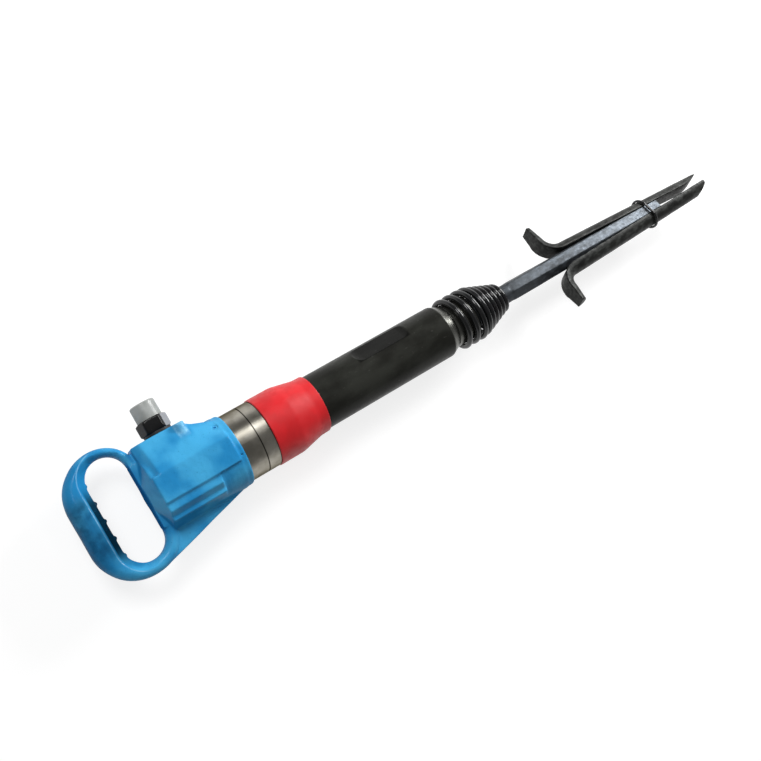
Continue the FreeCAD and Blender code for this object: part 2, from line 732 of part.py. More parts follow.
def tip_cutter(length, bevel, blunt, crown_is_longest):
    """What is ground off a feather's tip: a round bevel that leaves a blunt end on its longer side."""
    rise = FEATHER_RADIUS - blunt
    half = math.atan2(rise, bevel)
    radius = (bevel ** 2 + rise ** 2) / (2 * rise)
    beyond = length + bevel
    above = FEATHER_RADIUS + OVERRUN

    def at(x, depth):
        return Vector(x, depth if crown_is_longest else FEATHER_RADIUS - depth, 0)

    start = at(length - bevel, 0)
    middle = at(length - bevel + radius * math.sin(half), radius * (1 - math.cos(half)))
    end = at(length, rise)
    corners = [
        end,
        at(length, above),
        at(beyond, above),
        at(beyond, -OVERRUN),
        at(length - bevel, -OVERRUN),
        start,
    ]
    edges = [Part.Arc(start, middle, end).toShape()]
    edges += [Part.LineSegment(a, b).toShape() for a, b in zip(corners, corners[1:])]
    cutter = Part.Face(Part.Wire(edges)).extrude(Vector(0, 0, 4 * FEATHER_RADIUS))
    cutter.translate(Vector(0, 0, -2 * FEATHER_RADIUS))
    return cutter


def feather_bar(length):
    """A half-round bar along X, flat side on Y zero, with its rear end bent outwards to an ear."""
    section = Part.Face(half_round(FEATHER_RADIUS))
    bar = section.extrude(Vector(length, 0, 0))
    centre = Vector(0, FEATHER_BEND_RADIUS, 0)
    bend = section.revolve(centre, AXIS_Z, -QUARTER_TURN)
    ear_start = half_round(FEATHER_RADIUS)
    ear_start.rotate(centre, AXIS_Z, -QUARTER_TURN)
    ear_end = half_round(EAR_END_RADIUS)
    ear_end.rotate(centre, AXIS_Z, -QUARTER_TURN)
    ear_end.translate(Vector(0, EAR_LENGTH, 0))
    ear = Part.makeLoft([ear_start, ear_end], True, True)
    return bar.fuse([bend, ear]).removeSplitter()


def lay_on_wedge(shape, after_wedge_start, roll):
    """Puts a feather on one face of the wedge."""
    start = x_wedge_start + after_wedge_start
    shape.rotate(Vector(0, 0, 0), AXIS_Z, -wedge_angle())
    shape.translate(Vector(start, wedge_half_thickness(start) + FEATHER_GAP, 0))
    shape.rotate(Vector(0, 0, 0), AXIS_X, roll)
    return shape


def make_feather_upper():
    """The feather on the inlet's side, ground away on its flat side."""
    cutter = tip_cutter(UPPER_FEATHER_LENGTH, UPPER_TIP_BEVEL, UPPER_TIP_BLUNT, True)
    shape = feather_bar(UPPER_FEATHER_LENGTH).cut(cutter)
    return lay_on_wedge(shape, UPPER_FEATHER_START, TOOL_ROLL)


def make_feather_lower():
    """The feather on the other side, ground away on its round side."""
    cutter = tip_cutter(LOWER_FEATHER_LENGTH, LOWER_TIP_BEVEL, LOWER_TIP_BLUNT, False)
    shape = feather_bar(LOWER_FEATHER_LENGTH).cut(cutter)
    return lay_on_wedge(shape, LOWER_FEATHER_START, TOOL_ROLL + HALF_TURN)


def make_feather_ring():
    """The ring round both feathers, a little askew."""
    x = x_wedge_tip - HOOP_FROM_WEDGE_TIP
    reach = wedge_half_thickness(x) + FEATHER_GAP + FEATHER_RADIUS
    lean = math.cos(math.radians(HOOP_TILT))
    round_radius = FEATHER_RADIUS / lean + HOOP_GAP + HOOP_WIRE_RADIUS
    half_straight = reach / lean + HOOP_GAP + HOOP_WIRE_RADIUS - round_radius
    ends = []
    for side in (1, -1):
        low = Vector(0, side * half_straight, -round_radius)
        high = Vector(0, side * half_straight, round_radius)
        crown = Vector(0, side * (half_straight + round_radius), 0)
        ends.append((low, crown, high))
    (low_a, crown_a, high_a), (low_b, crown_b, high_b) = ends
    path = Part.Wire([
        Part.Arc(low_a, crown_a, high_a).toShape(),
        Part.LineSegment(high_a, high_b).toShape(),
        Part.Arc(high_b, crown_b, low_b).toShape(),
        Part.LineSegment(low_b, low_a).toShape(),
    ])
    section = Part.Wire([Part.makeCircle(HOOP_WIRE_RADIUS, low_a, AXIS_Y)])
    shell = Part.BRepOffsetAPI.MakePipeShell(path)
    shell.add(section)
    shell.build()
    shell.makeSolid()
    ring = shell.shape()
    ring.rotate(Vector(0, 0, 0), AXIS_Z, HOOP_TILT)
    ring.translate(Vector(x, 0, 0))
    ring.rotate(Vector(0, 0, 0), AXIS_X, TOOL_ROLL)
    return ring


def plate_from(edges, half_height):
    """A flat outline made a plate that is centred on the handle's plane."""
    face = Part.Face(Part.Wire(edges))
    face.translate(Vector(0, 0, -half_height))
    return face.extrude(Vector(0, 0, 2 * half_height))


def arc_through(a, b, c):
    """An edge through three (x, y) points."""
    return Part.Arc(Vector(*a, 0), Vector(*b, 0), Vector(*c, 0)).toShape()


def line_between(a, b):
    """A straight edge between two (x, y) points."""
    return Part.LineSegment(Vector(*a, 0), Vector(*b, 0)).toShape()


def hole_ends():
    """The middles of the hand hole's two round ends, and their radius."""
    radius = HOLE_LENGTH / 2
    x = x_hole_front - radius
    half = HOLE_WIDTH / 2 - radius
    return x, HOLE_CENTRE_Y + half, HOLE_CENTRE_Y - half, radius


def hand_hole(half_height):
    """The hand hole as a cutting shape."""
    x, y_high, y_low, radius = hole_ends()
    edges = [
        line_between((x - radius, y_low), (x - radius, y_high)),
        arc_through((x - radius, y_high), (x, y_high + radius), (x + radius, y_high)),
        line_between((x + radius, y_high), (x + radius, y_low)),
        arc_through((x + radius, y_low), (x, y_low - radius), (x - radius, y_low)),
    ]
    return plate_from(edges, half_height)


def in_plane(degrees):
    """The unit vector at an angle in the handle's plane, counted from +X towards +Y."""
    return Vector(math.cos(math.radians(degrees)), math.sin(math.radians(degrees)), 0)


def reach_to_circle(start, way, centre, radius):
    """How far a ray in the handle's plane runs before it meets a circle that it starts in."""
    offset = start - centre
    along = offset.dot(way)
    return math.sqrt(along * along - offset.dot(offset) + radius * radius) - along


def loop_section(centre, degrees, outer, half_height):
    """A rounded section of the D loop on a ray from one end of the hand hole, from the hole out to outer."""
    inner = HOLE_LENGTH / 2
    way = in_plane(degrees)
    middle = centre + way * ((inner + outer) / 2)
    half_width = (outer - inner) / 2
    corner = SECTION_FULLNESS_SHARE
    shares = [(-1, 0), (-corner, corner), (0, 1), (corner, corner)]
    shares += [(-u, -v) for u, v in shares]
    points = [middle + way * (half_width * u) + AXIS_Z * (half_height * v) for u, v in shares]
    edges = []
    for i in range(0, len(points), 2):
        edges.append(Part.Arc(points[i], points[i + 1], points[(i + 2) % len(points)]).toShape())
    return Part.Wire(edges)


def make_loop():
    """The D loop: a bar bent round the hand hole, thick at the grip and thin at the arms."""
    x, y_high, y_low, radius = hole_ends()
    high = Vector(x, y_high, 0)
    low = Vector(x, y_low, 0)
    top = y_high + radius + UPPER_ARM
    bottom = y_low - radius - LOWER_ARM
    corner = LOOP_CORNER_RADIUS
    x_corner = x_grip_rear + corner
    front_circle = Vector(x_corner, top - LOOP_FRONT_RADIUS, 0)
    high_circle = Vector(x_corner, top - corner, 0)
    low_circle = Vector(x_corner, bottom + corner, 0)
    grip = radius + GRIP_DEPTH
    upper = []
    lower = []
    for degrees in spokes(LOOP_SECTION_COUNT):
        way = in_plane(degrees)
        lift = max(0.0, -way.x) * (LOOP_HALF_HEIGHT - ARM_HALF_HEIGHT)
        height = ARM_HALF_HEIGHT + lift
        if degrees < QUARTER_TURN:
            outer = reach_to_circle(high, way, front_circle, LOOP_FRONT_RADIUS)
        elif degrees <= HALF_TURN:
            outer = reach_to_circle(high, way, high_circle, corner)
        if degrees <= HALF_TURN:
            upper.append(loop_section(high, degrees, outer, height))
        if degrees >= HALF_TURN:
            outer = radius + LOWER_ARM
            if degrees < HALF_TURN + QUARTER_TURN:
                outer = reach_to_circle(low, way, low_circle, corner)
            lower.append(loop_section(low, degrees, outer, height))
    lower.append(loop_section(low, FULL_TURN, radius + LOWER_ARM, ARM_HALF_HEIGHT))
    grip_high = loop_section(Vector(x, high_circle.y, 0), HALF_TURN, grip, LOOP_HALF_HEIGHT)
    grip_low = loop_section(Vector(x, low_circle.y, 0), HALF_TURN, grip, LOOP_HALF_HEIGHT)
    lofts = [
        Part.makeLoft(upper + [grip_high], True, False),
        Part.makeLoft([grip_high, grip_low], True, True),
        Part.makeLoft([grip_low] + lower, True, False),
    ]
    bar = slab(x_hole_front, x_hole_front + REAR_WALL, y_low, y_high, -ARM_HALF_HEIGHT, ARM_HALF_HEIGHT)
    return lofts + [bar]


def finger_ribs():
    """Small ribs across the inner side of the grip."""
    ribs = []
    first = HOLE_CENTRE_Y - FINGER_RIB_PITCH * (FINGER_RIB_COUNT - 1) / 2
    for i in range(FINGER_RIB_COUNT):
        y = first + i * FINGER_RIB_PITCH
        start = Vector(x_hole_rear - FINGER_RIB_HEIGHT, y - FINGER_RIB_WIDTH / 2, -ARM_HALF_HEIGHT)
        ribs.append(Part.makeBox(2 * FINGER_RIB_HEIGHT, FINGER_RIB_WIDTH, 2 * ARM_HALF_HEIGHT, start))
    return ribs


def terrace_section(x):
    """The stepped side of the body across X, down from the raised panel."""
    first = PANEL_HEIGHT - STEP_HEIGHT
    second = first - SECOND_STEP_HEIGHT
    upper = [
        (0, PANEL_HEIGHT),
        (PANEL_LOWER_Y, PANEL_HEIGHT),
        (PANEL_LOWER_Y - STEP_RUN, first),
        (FIRST_TREAD_END_Y, first),
        (FIRST_TREAD_END_Y - SECOND_STEP_RUN, second),
        (SECOND_TREAD_END_Y, second),
        (-body_radius, WEB_HALF_THICKNESS),
    ]
    lower = [(y, -z) for y, z in reversed(upper)]
    points = [Vector(x, y, z) for y, z in upper + lower]
    return Part.makePolygon(points + points[:1])


def boss_section(x, drawn_in, sunk):
    """The boss's outline across X, with its face drawn in and its top sunk by the given lengths."""
    face = BOSS_FACE_Y - drawn_in
    top = PANEL_HEIGHT - sunk
    edge = BOSS_HALF_HEIGHT - sunk * BOSS_EDGE_SINK_SHARE
    upper = [(0, top), (PANEL_UPPER_Y, top), (face, edge)]
    lower = [(y, -z) for y, z in reversed(upper)]
    points = [Vector(x, y, z) for y, z in upper + lower]
    return Part.makePolygon(points + points[:1])


def make_body():
    """The round body with its collar, stepped panels above and below, and the boss for the air inlet."""
    x_slope = x_body_rear + BODY_REAR_SLOPE
    shell = turned([
        (x_body_rear, 0),
        (x_body_rear, BODY_REAR_RADIUS),
        (x_slope, body_radius),
        (x_band, body_radius),
        (x_band, collar_band_radius),
        (x_collar_end - COLLAR_BAND_EDGE, collar_band_radius),
        (x_collar_end, collar_band_radius - COLLAR_BAND_EDGE),
        (x_collar_end, 0),
    ])
    terraces = Part.Face(terrace_section(x_slope)).extrude(Vector(TERRACE_LENGTH, 0, 0))
    panel = slab(x_slope, x_band, PANEL_LOWER_Y, PANEL_UPPER_Y, -PANEL_HEIGHT, PANEL_HEIGHT)
    end_drop = BOSS_FACE_Y - math.sqrt(body_radius ** 2 - BOSS_HALF_HEIGHT ** 2)
    stations = [
        (x_slope, 0.0, BOSS_REAR_SINK),
        (x_boss_rear, 0.0, 0.0),
        (x_boss_front, 0.0, 0.0),
        (x_boss_front + BOSS_FRONT_SLOPE, BOSS_FRONT_DROP, 0.0),
        (x_band, end_drop, 0.0),
    ]
    sections = [boss_section(*station) for station in stations]
    boss = [Part.makeLoft([a, b], True, True) for a, b in zip(sections, sections[1:])]
    lug_end = BOSS_FACE_Y - LUG_SHORT_OF_FACE
    lug_start = Vector(x_boss_front, PANEL_UPPER_Y, LUG_HEIGHT)
    lug = Part.makeCylinder(LUG_RADIUS, lug_end - PANEL_UPPER_Y, lug_start, AXIS_Y)
    return shell.fuse([terraces, panel, lug] + boss)


def make_web():
    """The thin plate between the lower arm and the body."""
    x, _, y_low, radius = hole_ends()
    outer = radius + LOWER_ARM
    touch = in_plane(-QUARTER_TURN + WEB_SLOPE_DEGREES) * outer + Vector(x, y_low, 0)
    points = [
        (touch.x, touch.y),
        (x_band, WEB_LOWER_FRONT_Y),
        (x_band, WEB_LOWER_FRONT_Y + body_radius / 2),
        (x + outer - OVERRUN, y_low),
    ]
    edges = [line_between(a, b) for a, b in zip(points, points[1:] + points[:1])]
    return plate_from(edges, WEB_HALF_THICKNESS)


def make_handle():
    """The blue casting: D loop, web, body and boss, bored for the sleeve, the throttle and the inlet."""
    body = make_body().cut(hand_hole(body_radius + OVERRUN))
    shape = body.fuse(make_loop() + [make_web()] + finger_ribs())
    bore = sleeve_radius + RUNNING_GAP
    cuts = [
        rod(x_chamber_rear, x_collar_end + OVERRUN, bore),
        rod(x_throttle_bush_rear, x_chamber_rear + OVERRUN, THROTTLE_BUSH_RADIUS + PRESS_GAP),
        Part.makeCylinder(INLET_BORE_RADIUS, BOSS_FACE_Y, Vector(x_inlet, 0, 0), AXIS_Y),
        Part.makeCylinder(
            NIPPLE_THREAD_RADIUS + PRESS_GAP,
            NIPPLE_THREAD_LENGTH + STRAINER_WALL + OVERRUN,
            Vector(x_inlet, BOSS_FACE_Y - NIPPLE_THREAD_LENGTH - STRAINER_WALL, 0),
            AXIS_Y,
        ),
        seal_groove(),
    ]
    x_screw = x_collar_end - SCREW_FROM_COLLAR
    for degrees in SCREW_ANGLES:
        start = around_axis(x_screw, body_radius / 2, degrees)
        way = around_axis(0, 1, degrees)
        cuts.append(Part.makeCylinder(SCREW_RADIUS + PRESS_GAP, body_radius, start, way))
    return shape.cut(cuts).removeSplitter()


def seal_groove():
    """The groove in the handle's bore for the seal ring."""
    x = x_collar_end - SEAL_FROM_COLLAR
    half = SEAL_RING_RADIUS + PRESS_GAP
    outer = rod(x - half, x + half, sleeve_radius + SEAL_RING_RADIUS)
    return outer.cut(rod(x - half - OVERRUN, x + half + OVERRUN, sleeve_radius))


def make_collar_seal_ring():
    """A flat-sided seal ring between the handle's bore and the sleeve."""
    x = x_collar_end - SEAL_FROM_COLLAR
    outer = rod(x - SEAL_RING_RADIUS, x + SEAL_RING_RADIUS, sleeve_radius + SEAL_RING_RADIUS - PRESS_GAP)
    inner = rod(x - SEAL_RING_RADIUS - OVERRUN, x + SEAL_RING_RADIUS + OVERRUN, sleeve_radius + RUNNING_GAP)
    return outer.cut(inner)


def make_lock_screws():
    """Set screws whose ends slide in the sleeve's slots."""
    x = x_collar_end - SCREW_FROM_COLLAR
    inner = sleeve_radius - SCREW_IN_SLOT
    outer = collar_band_radius
    screws = []
    for degrees in SCREW_ANGLES:
        way = around_axis(0, 1, degrees)
        screw = Part.makeCylinder(SCREW_RADIUS, outer - inner, around_axis(x, inner, degrees), way)
        bottom = around_axis(x, outer - SOCKET_DEPTH, degrees)
        socket = Part.makeCylinder(SOCKET_RADIUS, OVERRUN + SOCKET_DEPTH, bottom, way)
        screws.append(screw.cut(socket))
    return Part.makeCompound(screws)


def make_throttle_bush():
    """The bush that the poppet closes in, with a port to the inlet."""
    body = rod(x_throttle_bush_rear, x_chamber_rear, THROTTLE_BUSH_RADIUS)
    x_port = x_throttle_seat - THROTTLE_PORT_BEHIND_SEAT
    port_start = Vector(x_port, 0, 0)
    port = Part.makeCylinder(THROTTLE_PORT_RADIUS, THROTTLE_BUSH_RADIUS + OVERRUN, port_start, AXIS_Y)
    return body.cut([
        rod(x_throttle_bush_rear - OVERRUN, x_throttle_seat, THROTTLE_BORE_RADIUS),
        rod(x_throttle_seat - OVERRUN, x_chamber_rear + OVERRUN, THROTTLE_SEAT_RADIUS),
        port,
    ])


def make_throttle_valve():
    """The poppet: a disc with a stem that the sleeve pushes and a tail that carries its spring."""
    x_disc_front = x_throttle_seat - SEAT_GAP
    x_disc_rear = x_disc_front - POPPET_THICKNESS
    x_tail = x_disc_rear - TAIL_LENGTH
    return turned([
        (x_tail, 0),
        (x_tail, TAIL_RADIUS),
        (x_disc_rear, TAIL_RADIUS),
        (x_disc_rear, THROTTLE_BORE_RADIUS - RUNNING_GAP),
        (x_disc_front, THROTTLE_BORE_RADIUS - RUNNING_GAP),
        (x_disc_front, STEM_RADIUS),
        (x_sleeve_rear - SEAT_GAP, STEM_RADIUS),
        (x_sleeve_rear - SEAT_GAP, 0),
    ])


def plain_coil(x_from, x_to, radius, wire_radius, turns, name):
    """A cylindrical spring between two faces."""
    first = x_from + SEAT_GAP + wire_radius
    last = x_to - SEAT_GAP - wire_radius

    def place(turn):
        return helix_point(first + (last - first) * turn / turns, radius, turn)

    return coil(place, turns, wire_radius, name)


def make_throttle_spring():
    """The small spring behind the poppet."""
    x_disc_rear = x_throttle_seat - SEAT_GAP - POPPET_THICKNESS
    return plain_coil(
        x_throttle_bush_rear,
        x_disc_rear,
        THROTTLE_COIL_RADIUS,
        THROTTLE_WIRE_RADIUS,
        THROTTLE_COIL_TURNS,
        "throttle_spring",
    )


def make_handle_spring():
    """The spring that pushes the handle back off the throttle."""
    return plain_coil(
        x_chamber_rear,
        x_sleeve_rear,
        HANDLE_COIL_RADIUS,
        HANDLE_WIRE_RADIUS,
        HANDLE_COIL_TURNS,
        "handle_spring",
    )


def stub(y_from, y_to, radius):
    """A round bar along the inlet's axis."""
    return Part.makeCylinder(radius, y_to - y_from, Vector(x_inlet, y_from, 0), AXIS_Y)


def make_inlet_nipple():
    """The hexagon nipple: thread in the boss, chamfered hexagon and a threaded spout."""
    corner = corner_radius(NUT_ACROSS_FLATS)
    points = []
    for degrees in spokes(HEXAGON_SIDES, NUT_TURN):
        angle = math.radians(degrees)
        points.append(Vector(x_inlet + corner * math.cos(angle), y_nut, corner * math.sin(angle)))
    prism = Part.Face(Part.makePolygon(points + points[:1])).extrude(Vector(0, NUT_HEIGHT, 0))
    rim = corner - NUT_CHAMFER
    rise = NUT_CHAMFER / 2
    profile = [
        Vector(x_inlet, y_nut, 0),
        Vector(x_inlet + rim, y_nut, 0),
        Vector(x_inlet + corner, y_nut + rise, 0),
        Vector(x_inlet + corner, y_nut_top - rise, 0),
        Vector(x_inlet + rim, y_nut_top, 0),
        Vector(x_inlet, y_nut_top, 0),
    ]
    face = Part.Face(Part.makePolygon(profile + profile[:1]))
    nut = prism.common(face.revolve(Vector(x_inlet, 0, 0), AXIS_Y, FULL_TURN))
    body = nut.fuse([
        stub(y_thread_end, y_nut, NIPPLE_THREAD_RADIUS),
        stub(y_nut_top, y_spout, SPOUT_RADIUS),
    ])
    return body.cut(stub(y_thread_end - OVERRUN, y_spout + OVERRUN, INLET_BORE_RADIUS)).removeSplitter()


def make_inlet_seal():
    """The washer under the hexagon."""
    outer = stub(BOSS_FACE_Y, y_nut, SEAL_RADIUS)
    return outer.cut(stub(BOSS_FACE_Y - OVERRUN, y_nut + OVERRUN, NIPPLE_THREAD_RADIUS + PRESS_GAP))


def make_inlet_strainer():
    """The gauze thimble under the nipple's end."""
    y_flange = y_thread_end - STRAINER_WALL
    flange = stub(y_flange, y_thread_end, NIPPLE_THREAD_RADIUS)
    cup = stub(y_flange - STRAINER_LENGTH, y_thread_end, STRAINER_RADIUS)
    y_inside = y_flange - STRAINER_LENGTH + STRAINER_WALL
    inner = stub(y_inside, y_thread_end + OVERRUN, STRAINER_RADIUS - STRAINER_WALL)
    body = flange.fuse(cup).cut(inner)
    cuts = []
    for row in range(STRAINER_ROWS):
        y = y_flange - STRAINER_LENGTH + STRAINER_ROW_PITCH * (row + 1)
        for i in range(STRAINER_HOLES_ACROSS):
            angle = math.radians(HALF_TURN * i / STRAINER_HOLES_ACROSS)
            way = Vector(math.cos(angle), 0, math.sin(angle))
            start = Vector(x_inlet, y, 0) - way * (2 * STRAINER_RADIUS)
            cuts.append(Part.makeCylinder(STRAINER_HOLE_RADIUS, 4 * STRAINER_RADIUS, start, way))
    return body.cut(cuts)


def make_inlet_cap():
    """The dust cap on the nipple's spout."""
    y_from = y_nut_top + SEAT_GAP
    y_to = y_from + CAP_HEIGHT
    body = stub(y_from, y_to, CAP_RADIUS)
    rim = [e for e in body.Edges if abs(e.CenterOfMass.y - y_to) < TOUCH and len(e.Vertexes) == 1]
    body = body.makeFillet(CAP_EDGE, rim)
    return body.cut(stub(y_from - OVERRUN, y_spout + SEAT_GAP, SPOUT_RADIUS + RUNNING_GAP))


PIECES = {
    "cylinder": make_cylinder,
    "snap_ring": make_snap_ring,
    "connecting_sleeve": make_connecting_sleeve,
    "valve_cover": make_valve_cover,
    "valve_chest": make_valve_chest,
    "valve_plate": make_valve_plate,
    "chest_gasket": make_chest_gasket,
    "locating_pins": make_locating_pins,
    "hammer": make_hammer,
    "tool_bush": make_tool_bush,
    "exhaust_sleeve": make_exhaust_sleeve,
    "retaining_spring": make_retaining_spring,
    "splitting_wedge": make_splitting_wedge,
    "feather_upper": make_feather_upper,
    "feather_lower": make_feather_lower,
    "feather_ring": make_feather_ring,
    "handle": make_handle,
    "collar_seal_ring": make_collar_seal_ring,
    "lock_screws": make_lock_screws,
    "throttle_bush": make_throttle_bush,
    "throttle_valve": make_throttle_valve,
    "throttle_spring": make_throttle_spring,
    "handle_spring": make_handle_spring,
    "inlet_nipple": make_inlet_nipple,
    "inlet_seal": make_inlet_seal,
    "inlet_strainer": make_inlet_strainer,
    "inlet_cap": make_inlet_cap,
}


def main():
    """Makes every piece, moves all to the common origin and writes them."""
    os.makedirs("parts", exist_ok=True)
    made = {name: make() for name, make in PIECES.items()}
    box = Part.makeCompound(list(made.values())).optimalBoundingBox(False)
    shift = Vector(-box.Center.x, -box.Center.y, -box.ZMin)
    for name, shape in made.items():
        shape.translate(shift)
        if not shape.isValid():
            print("not valid:", name)
        print(name, len(shape.Solids), "solids", round(shape.Volume, 1), "mm3")
        shape.exportStep(os.path.join("parts", name + ".step"))
    print("moved by", [round(v, 4) for v in shift])


main()
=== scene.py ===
"""The looks of a hand-held pneumatic pick with a rock-splitting wedge between two feathers.

Metres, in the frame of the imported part: X runs along the tool towards the wedge's tip, Y points to
the air inlet and Z up. Sizes below are in millimetres, counted along the axis from the cylinder's
rear face.
"""

import bmesh
import bpy
import math
import numpy as np
from mathutils import Matrix, Vector, noise


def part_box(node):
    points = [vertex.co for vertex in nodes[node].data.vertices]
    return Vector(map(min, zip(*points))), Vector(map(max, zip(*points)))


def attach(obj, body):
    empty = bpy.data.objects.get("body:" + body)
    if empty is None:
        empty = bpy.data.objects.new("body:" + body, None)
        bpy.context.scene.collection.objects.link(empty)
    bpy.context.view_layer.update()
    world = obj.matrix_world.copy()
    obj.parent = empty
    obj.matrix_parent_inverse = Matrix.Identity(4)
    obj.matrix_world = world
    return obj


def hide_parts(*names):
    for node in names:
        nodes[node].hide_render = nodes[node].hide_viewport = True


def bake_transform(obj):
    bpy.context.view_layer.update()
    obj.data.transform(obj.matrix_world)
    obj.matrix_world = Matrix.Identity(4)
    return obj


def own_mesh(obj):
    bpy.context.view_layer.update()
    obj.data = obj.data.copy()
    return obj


MM = 0.001

# Camera: its spot from the point on the axis that the photograph shows at its middle, tilt, roll
# and lens
CAMERA_FROM_AXIS_POINT = (-451.0, -15.0, 1117.0)
AXIS_POINT = 170.0
CAMERA_TILT = 68.0
CAMERA_ROLL = 30.15
LENS = 48.77
SENSOR = 36.0

# Casting of the handle, and the hand hole in it. A wave is the size and depth of an uneven skin
VOXEL = 1.0
BODY_REAR = -130.0
HOLE_LENGTH = 47.0
HOLE_REAR = BODY_REAR - HOLE_LENGTH
HOLE_WIDTH = 122.0
HOLE_CENTRE_Y = 2.4
PLANED_WIDTH = 9.0
PLANED_EDGE_HALF_HEIGHT = 4.0
GRIP_HALF_HEIGHT = 14.5
CREASE_FROM_HOLE = 8.6
GRIME_AND_SHADE_CENTRE_Y = -2.0
LUG_X = -65.0
CASTING_WAVE = (24.0, 0.3)

# Cylinder: bare head, shoulder, black barrel with two flats, and nose
HEAD_LENGTH = 16.0
HEAD_RADIUS = 40.0
CHEST_POCKET_RADIUS = 33.05
SHOULDER_RADIUS = 36.0
SHOULDER_FRONT = 52.0
BARREL_RADIUS = 33.0
BARREL_FRONT = 267.0
NOSE_REAR = 279.0
NOSE_FRONT = 310.0
NOSE_RADIUS = 27.5
BORE_RADIUS = 19.0
BUSH_REAR = 230.0
BUSH_RADIUS = 21.02
FLAT_FLOOR = 30.8
FLAT_FROM = 146.0
FLAT_TO = 221.0
FLAT_ANGLES = (43.0, 223.0)
FLAT_CUTTER_RADIUS = 25.0
FLAT_STEPS = 18
ROUND_STEPS = 70
BARREL_STEP = 0.8
THREAD_RIDGE_RADIUS = 1.6
THREAD_RIDGE_SUNK = 0.3
THREAD_RIDGE_FIRST_TURN = -0.25
THREAD_RIDGE_TURNS = 2

# Exhaust sleeve
EXHAUST_RADIUS = 41.0
EXHAUST_CONE = 48.0
EXHAUST_LIP = 74.0
EXHAUST_END = 85.0
EXHAUST_LIP_RADIUS = 34.9
EXHAUST_SEAT = 36.05
EXHAUST_THROAT = 33.7

# Retaining spring
RETAINING_WIRE = 3.4
SPRING_AHEAD_OF_TAPER = 2.5
SPRING_FORM_GAP = 0.3
SPRING_PITCH_ON_NOSE = 12.8
SPRING_PITCH_ON_CONE = 7.5
SPRING_FIRST_TURN = -0.2
SPRING_LAST_TURN = 8.5
SPRING_TURNS_ON_NOSE = 1.75
SPRING_PITCH_BLEND = 1.4
SPRING_CONE_START = 37.0
SPRING_CONE_BLEND = 6.0
SPRING_CONE_SLOPE = 0.365
SPRING_END_RADIUS = 15.65
STEPS_PER_TURN = 48

# Springs inside the handle: from, to, coil radius, wire radius and turns
SEAT_GAP = 0.3
SLEEVE_REAR = -52.0
CHAMBER_REAR = -70.0
HANDLE_COIL = (CHAMBER_REAR, SLEEVE_REAR, 29.0, 1.9, 2.25)
THROTTLE_COIL = (-116.0, -83.3, 7.0, 0.8, 6.0)

# Splitting wedge and feathers
SHANK_REAR = 215.3
SHANK_RADIUS = 12.0
SHANK_EDGE = 1.5
COLLAR_REAR = 310.3
COLLAR_FRONT = 323.0
COLLAR_RADIUS = 19.5
COLLAR_EDGE = 1.5
COLLAR_FRONT_EDGE = 2.5
COLLAR_CONE_FRONT = 343.0
COLLAR_CONE_HOLLOW = 1.35
NECK_RADIUS = 11.9
NECK_FRONT = 376.0
HEX_APOTHEM = 11.5
WEDGE_START = 424.0
WEDGE_TIP = 638.0
WEDGE_TIP_THICKNESS = 11.0
WEDGE_TIP_EDGE = 0.6
WEDGE_WAVE = (15.0, 0.08)
TOOL_ROLL = -20.0
FEATHER_VOXEL = 0.7
FEATHER_RADIUS = 12.5
FEATHER_GAP = 0.2
FEATHER_WAVE = (14.0, 0.12)
HOOP_FROM_WEDGE_TIP = 20.0
HOOP_WIRE = 1.6
HOOP_GAP = 0.35
HOOP_TILT = 5.0
HOOP_STEPS = 96

# Air inlet
INLET_X = -84.0
BOSS_FACE_Y = 55.0
THREAD_END_Y = 35.0
SEAL_RADIUS = 16.0
NUT_Y = 58.4
NUT_TOP_Y = 73.4
NUT_APOTHEM = 16.0
NUT_CHAMFER = 2.2
NUT_CHAMFER_SLOPE = 2.0
NUT_TURN = 9.4
NUT_STEPS = (0.0, 0.3, 0.6, 0.9, 1.3, 2.0, 3.5, 5.5)
SPOUT_Y = 89.9
SPOUT_RADIUS = 12.0
SPOUT_THREAD_PITCH = 1.5
SPOUT_THREAD_DEPTH = 0.8
SPOUT_EDGE = 0.8
INLET_BORE = 8.0
CAP_Y = 73.7
CAP_TOP_Y = 93.1
CAP_RADIUS = 14.5
CAP_BORE = 12.05

# Surfaces: a ring of turned steel, and the length of one wave of Wave Texture at a scale of 1
LATHE_RING = 0.8
WAVE_LENGTH = 0.314

# Meshes: how sharp the corners of blunt_least are, the least value it takes, the degrees between
# points of a rounded corner, and how strongly and how many times a net is smoothed
BLUNTNESS = 26.0
LEAST = 1e-3
ROUNDING_STEP = 9.0
POLISH = (0.5, 3)
PLANED_POLISH = (0.35, 2)

# Floor size in metres, and lamps: the way from the object, then distance, width and height in
# metres, and level
FLOOR_SIZE = 30.0
LAMPS = {
    "window_lamp": ((0.84, 0.32, 0.45), 1.3, 0.65, 0.4, 1.1),
    "top_lamp": ((-0.35, 0.55, 0.9), 1.5, 0.5, 0.5, 0.42),
}

# Where the noise is read for a shift along X, Y and Z
NOISE_STARTS = (Vector((0.0, 0.0, 0.0)), Vector((31.7, 11.3, 57.1)), Vector((71.9, 43.3, 19.7)))

# Map Range eases in and out
SMOOTH = {"interpolation_type": "SMOOTHSTEP"}


def linear(code):
    """The linear colour of an sRGB hex code."""
    channels = [int(code[i:i + 2], 16) / 255 for i in (1, 3, 5)]
    lit = [c / 12.92 if c <= 0.04045 else ((c + 0.055) / 1.055) ** 2.4 for c in channels]
    return (*lit, 1.0)


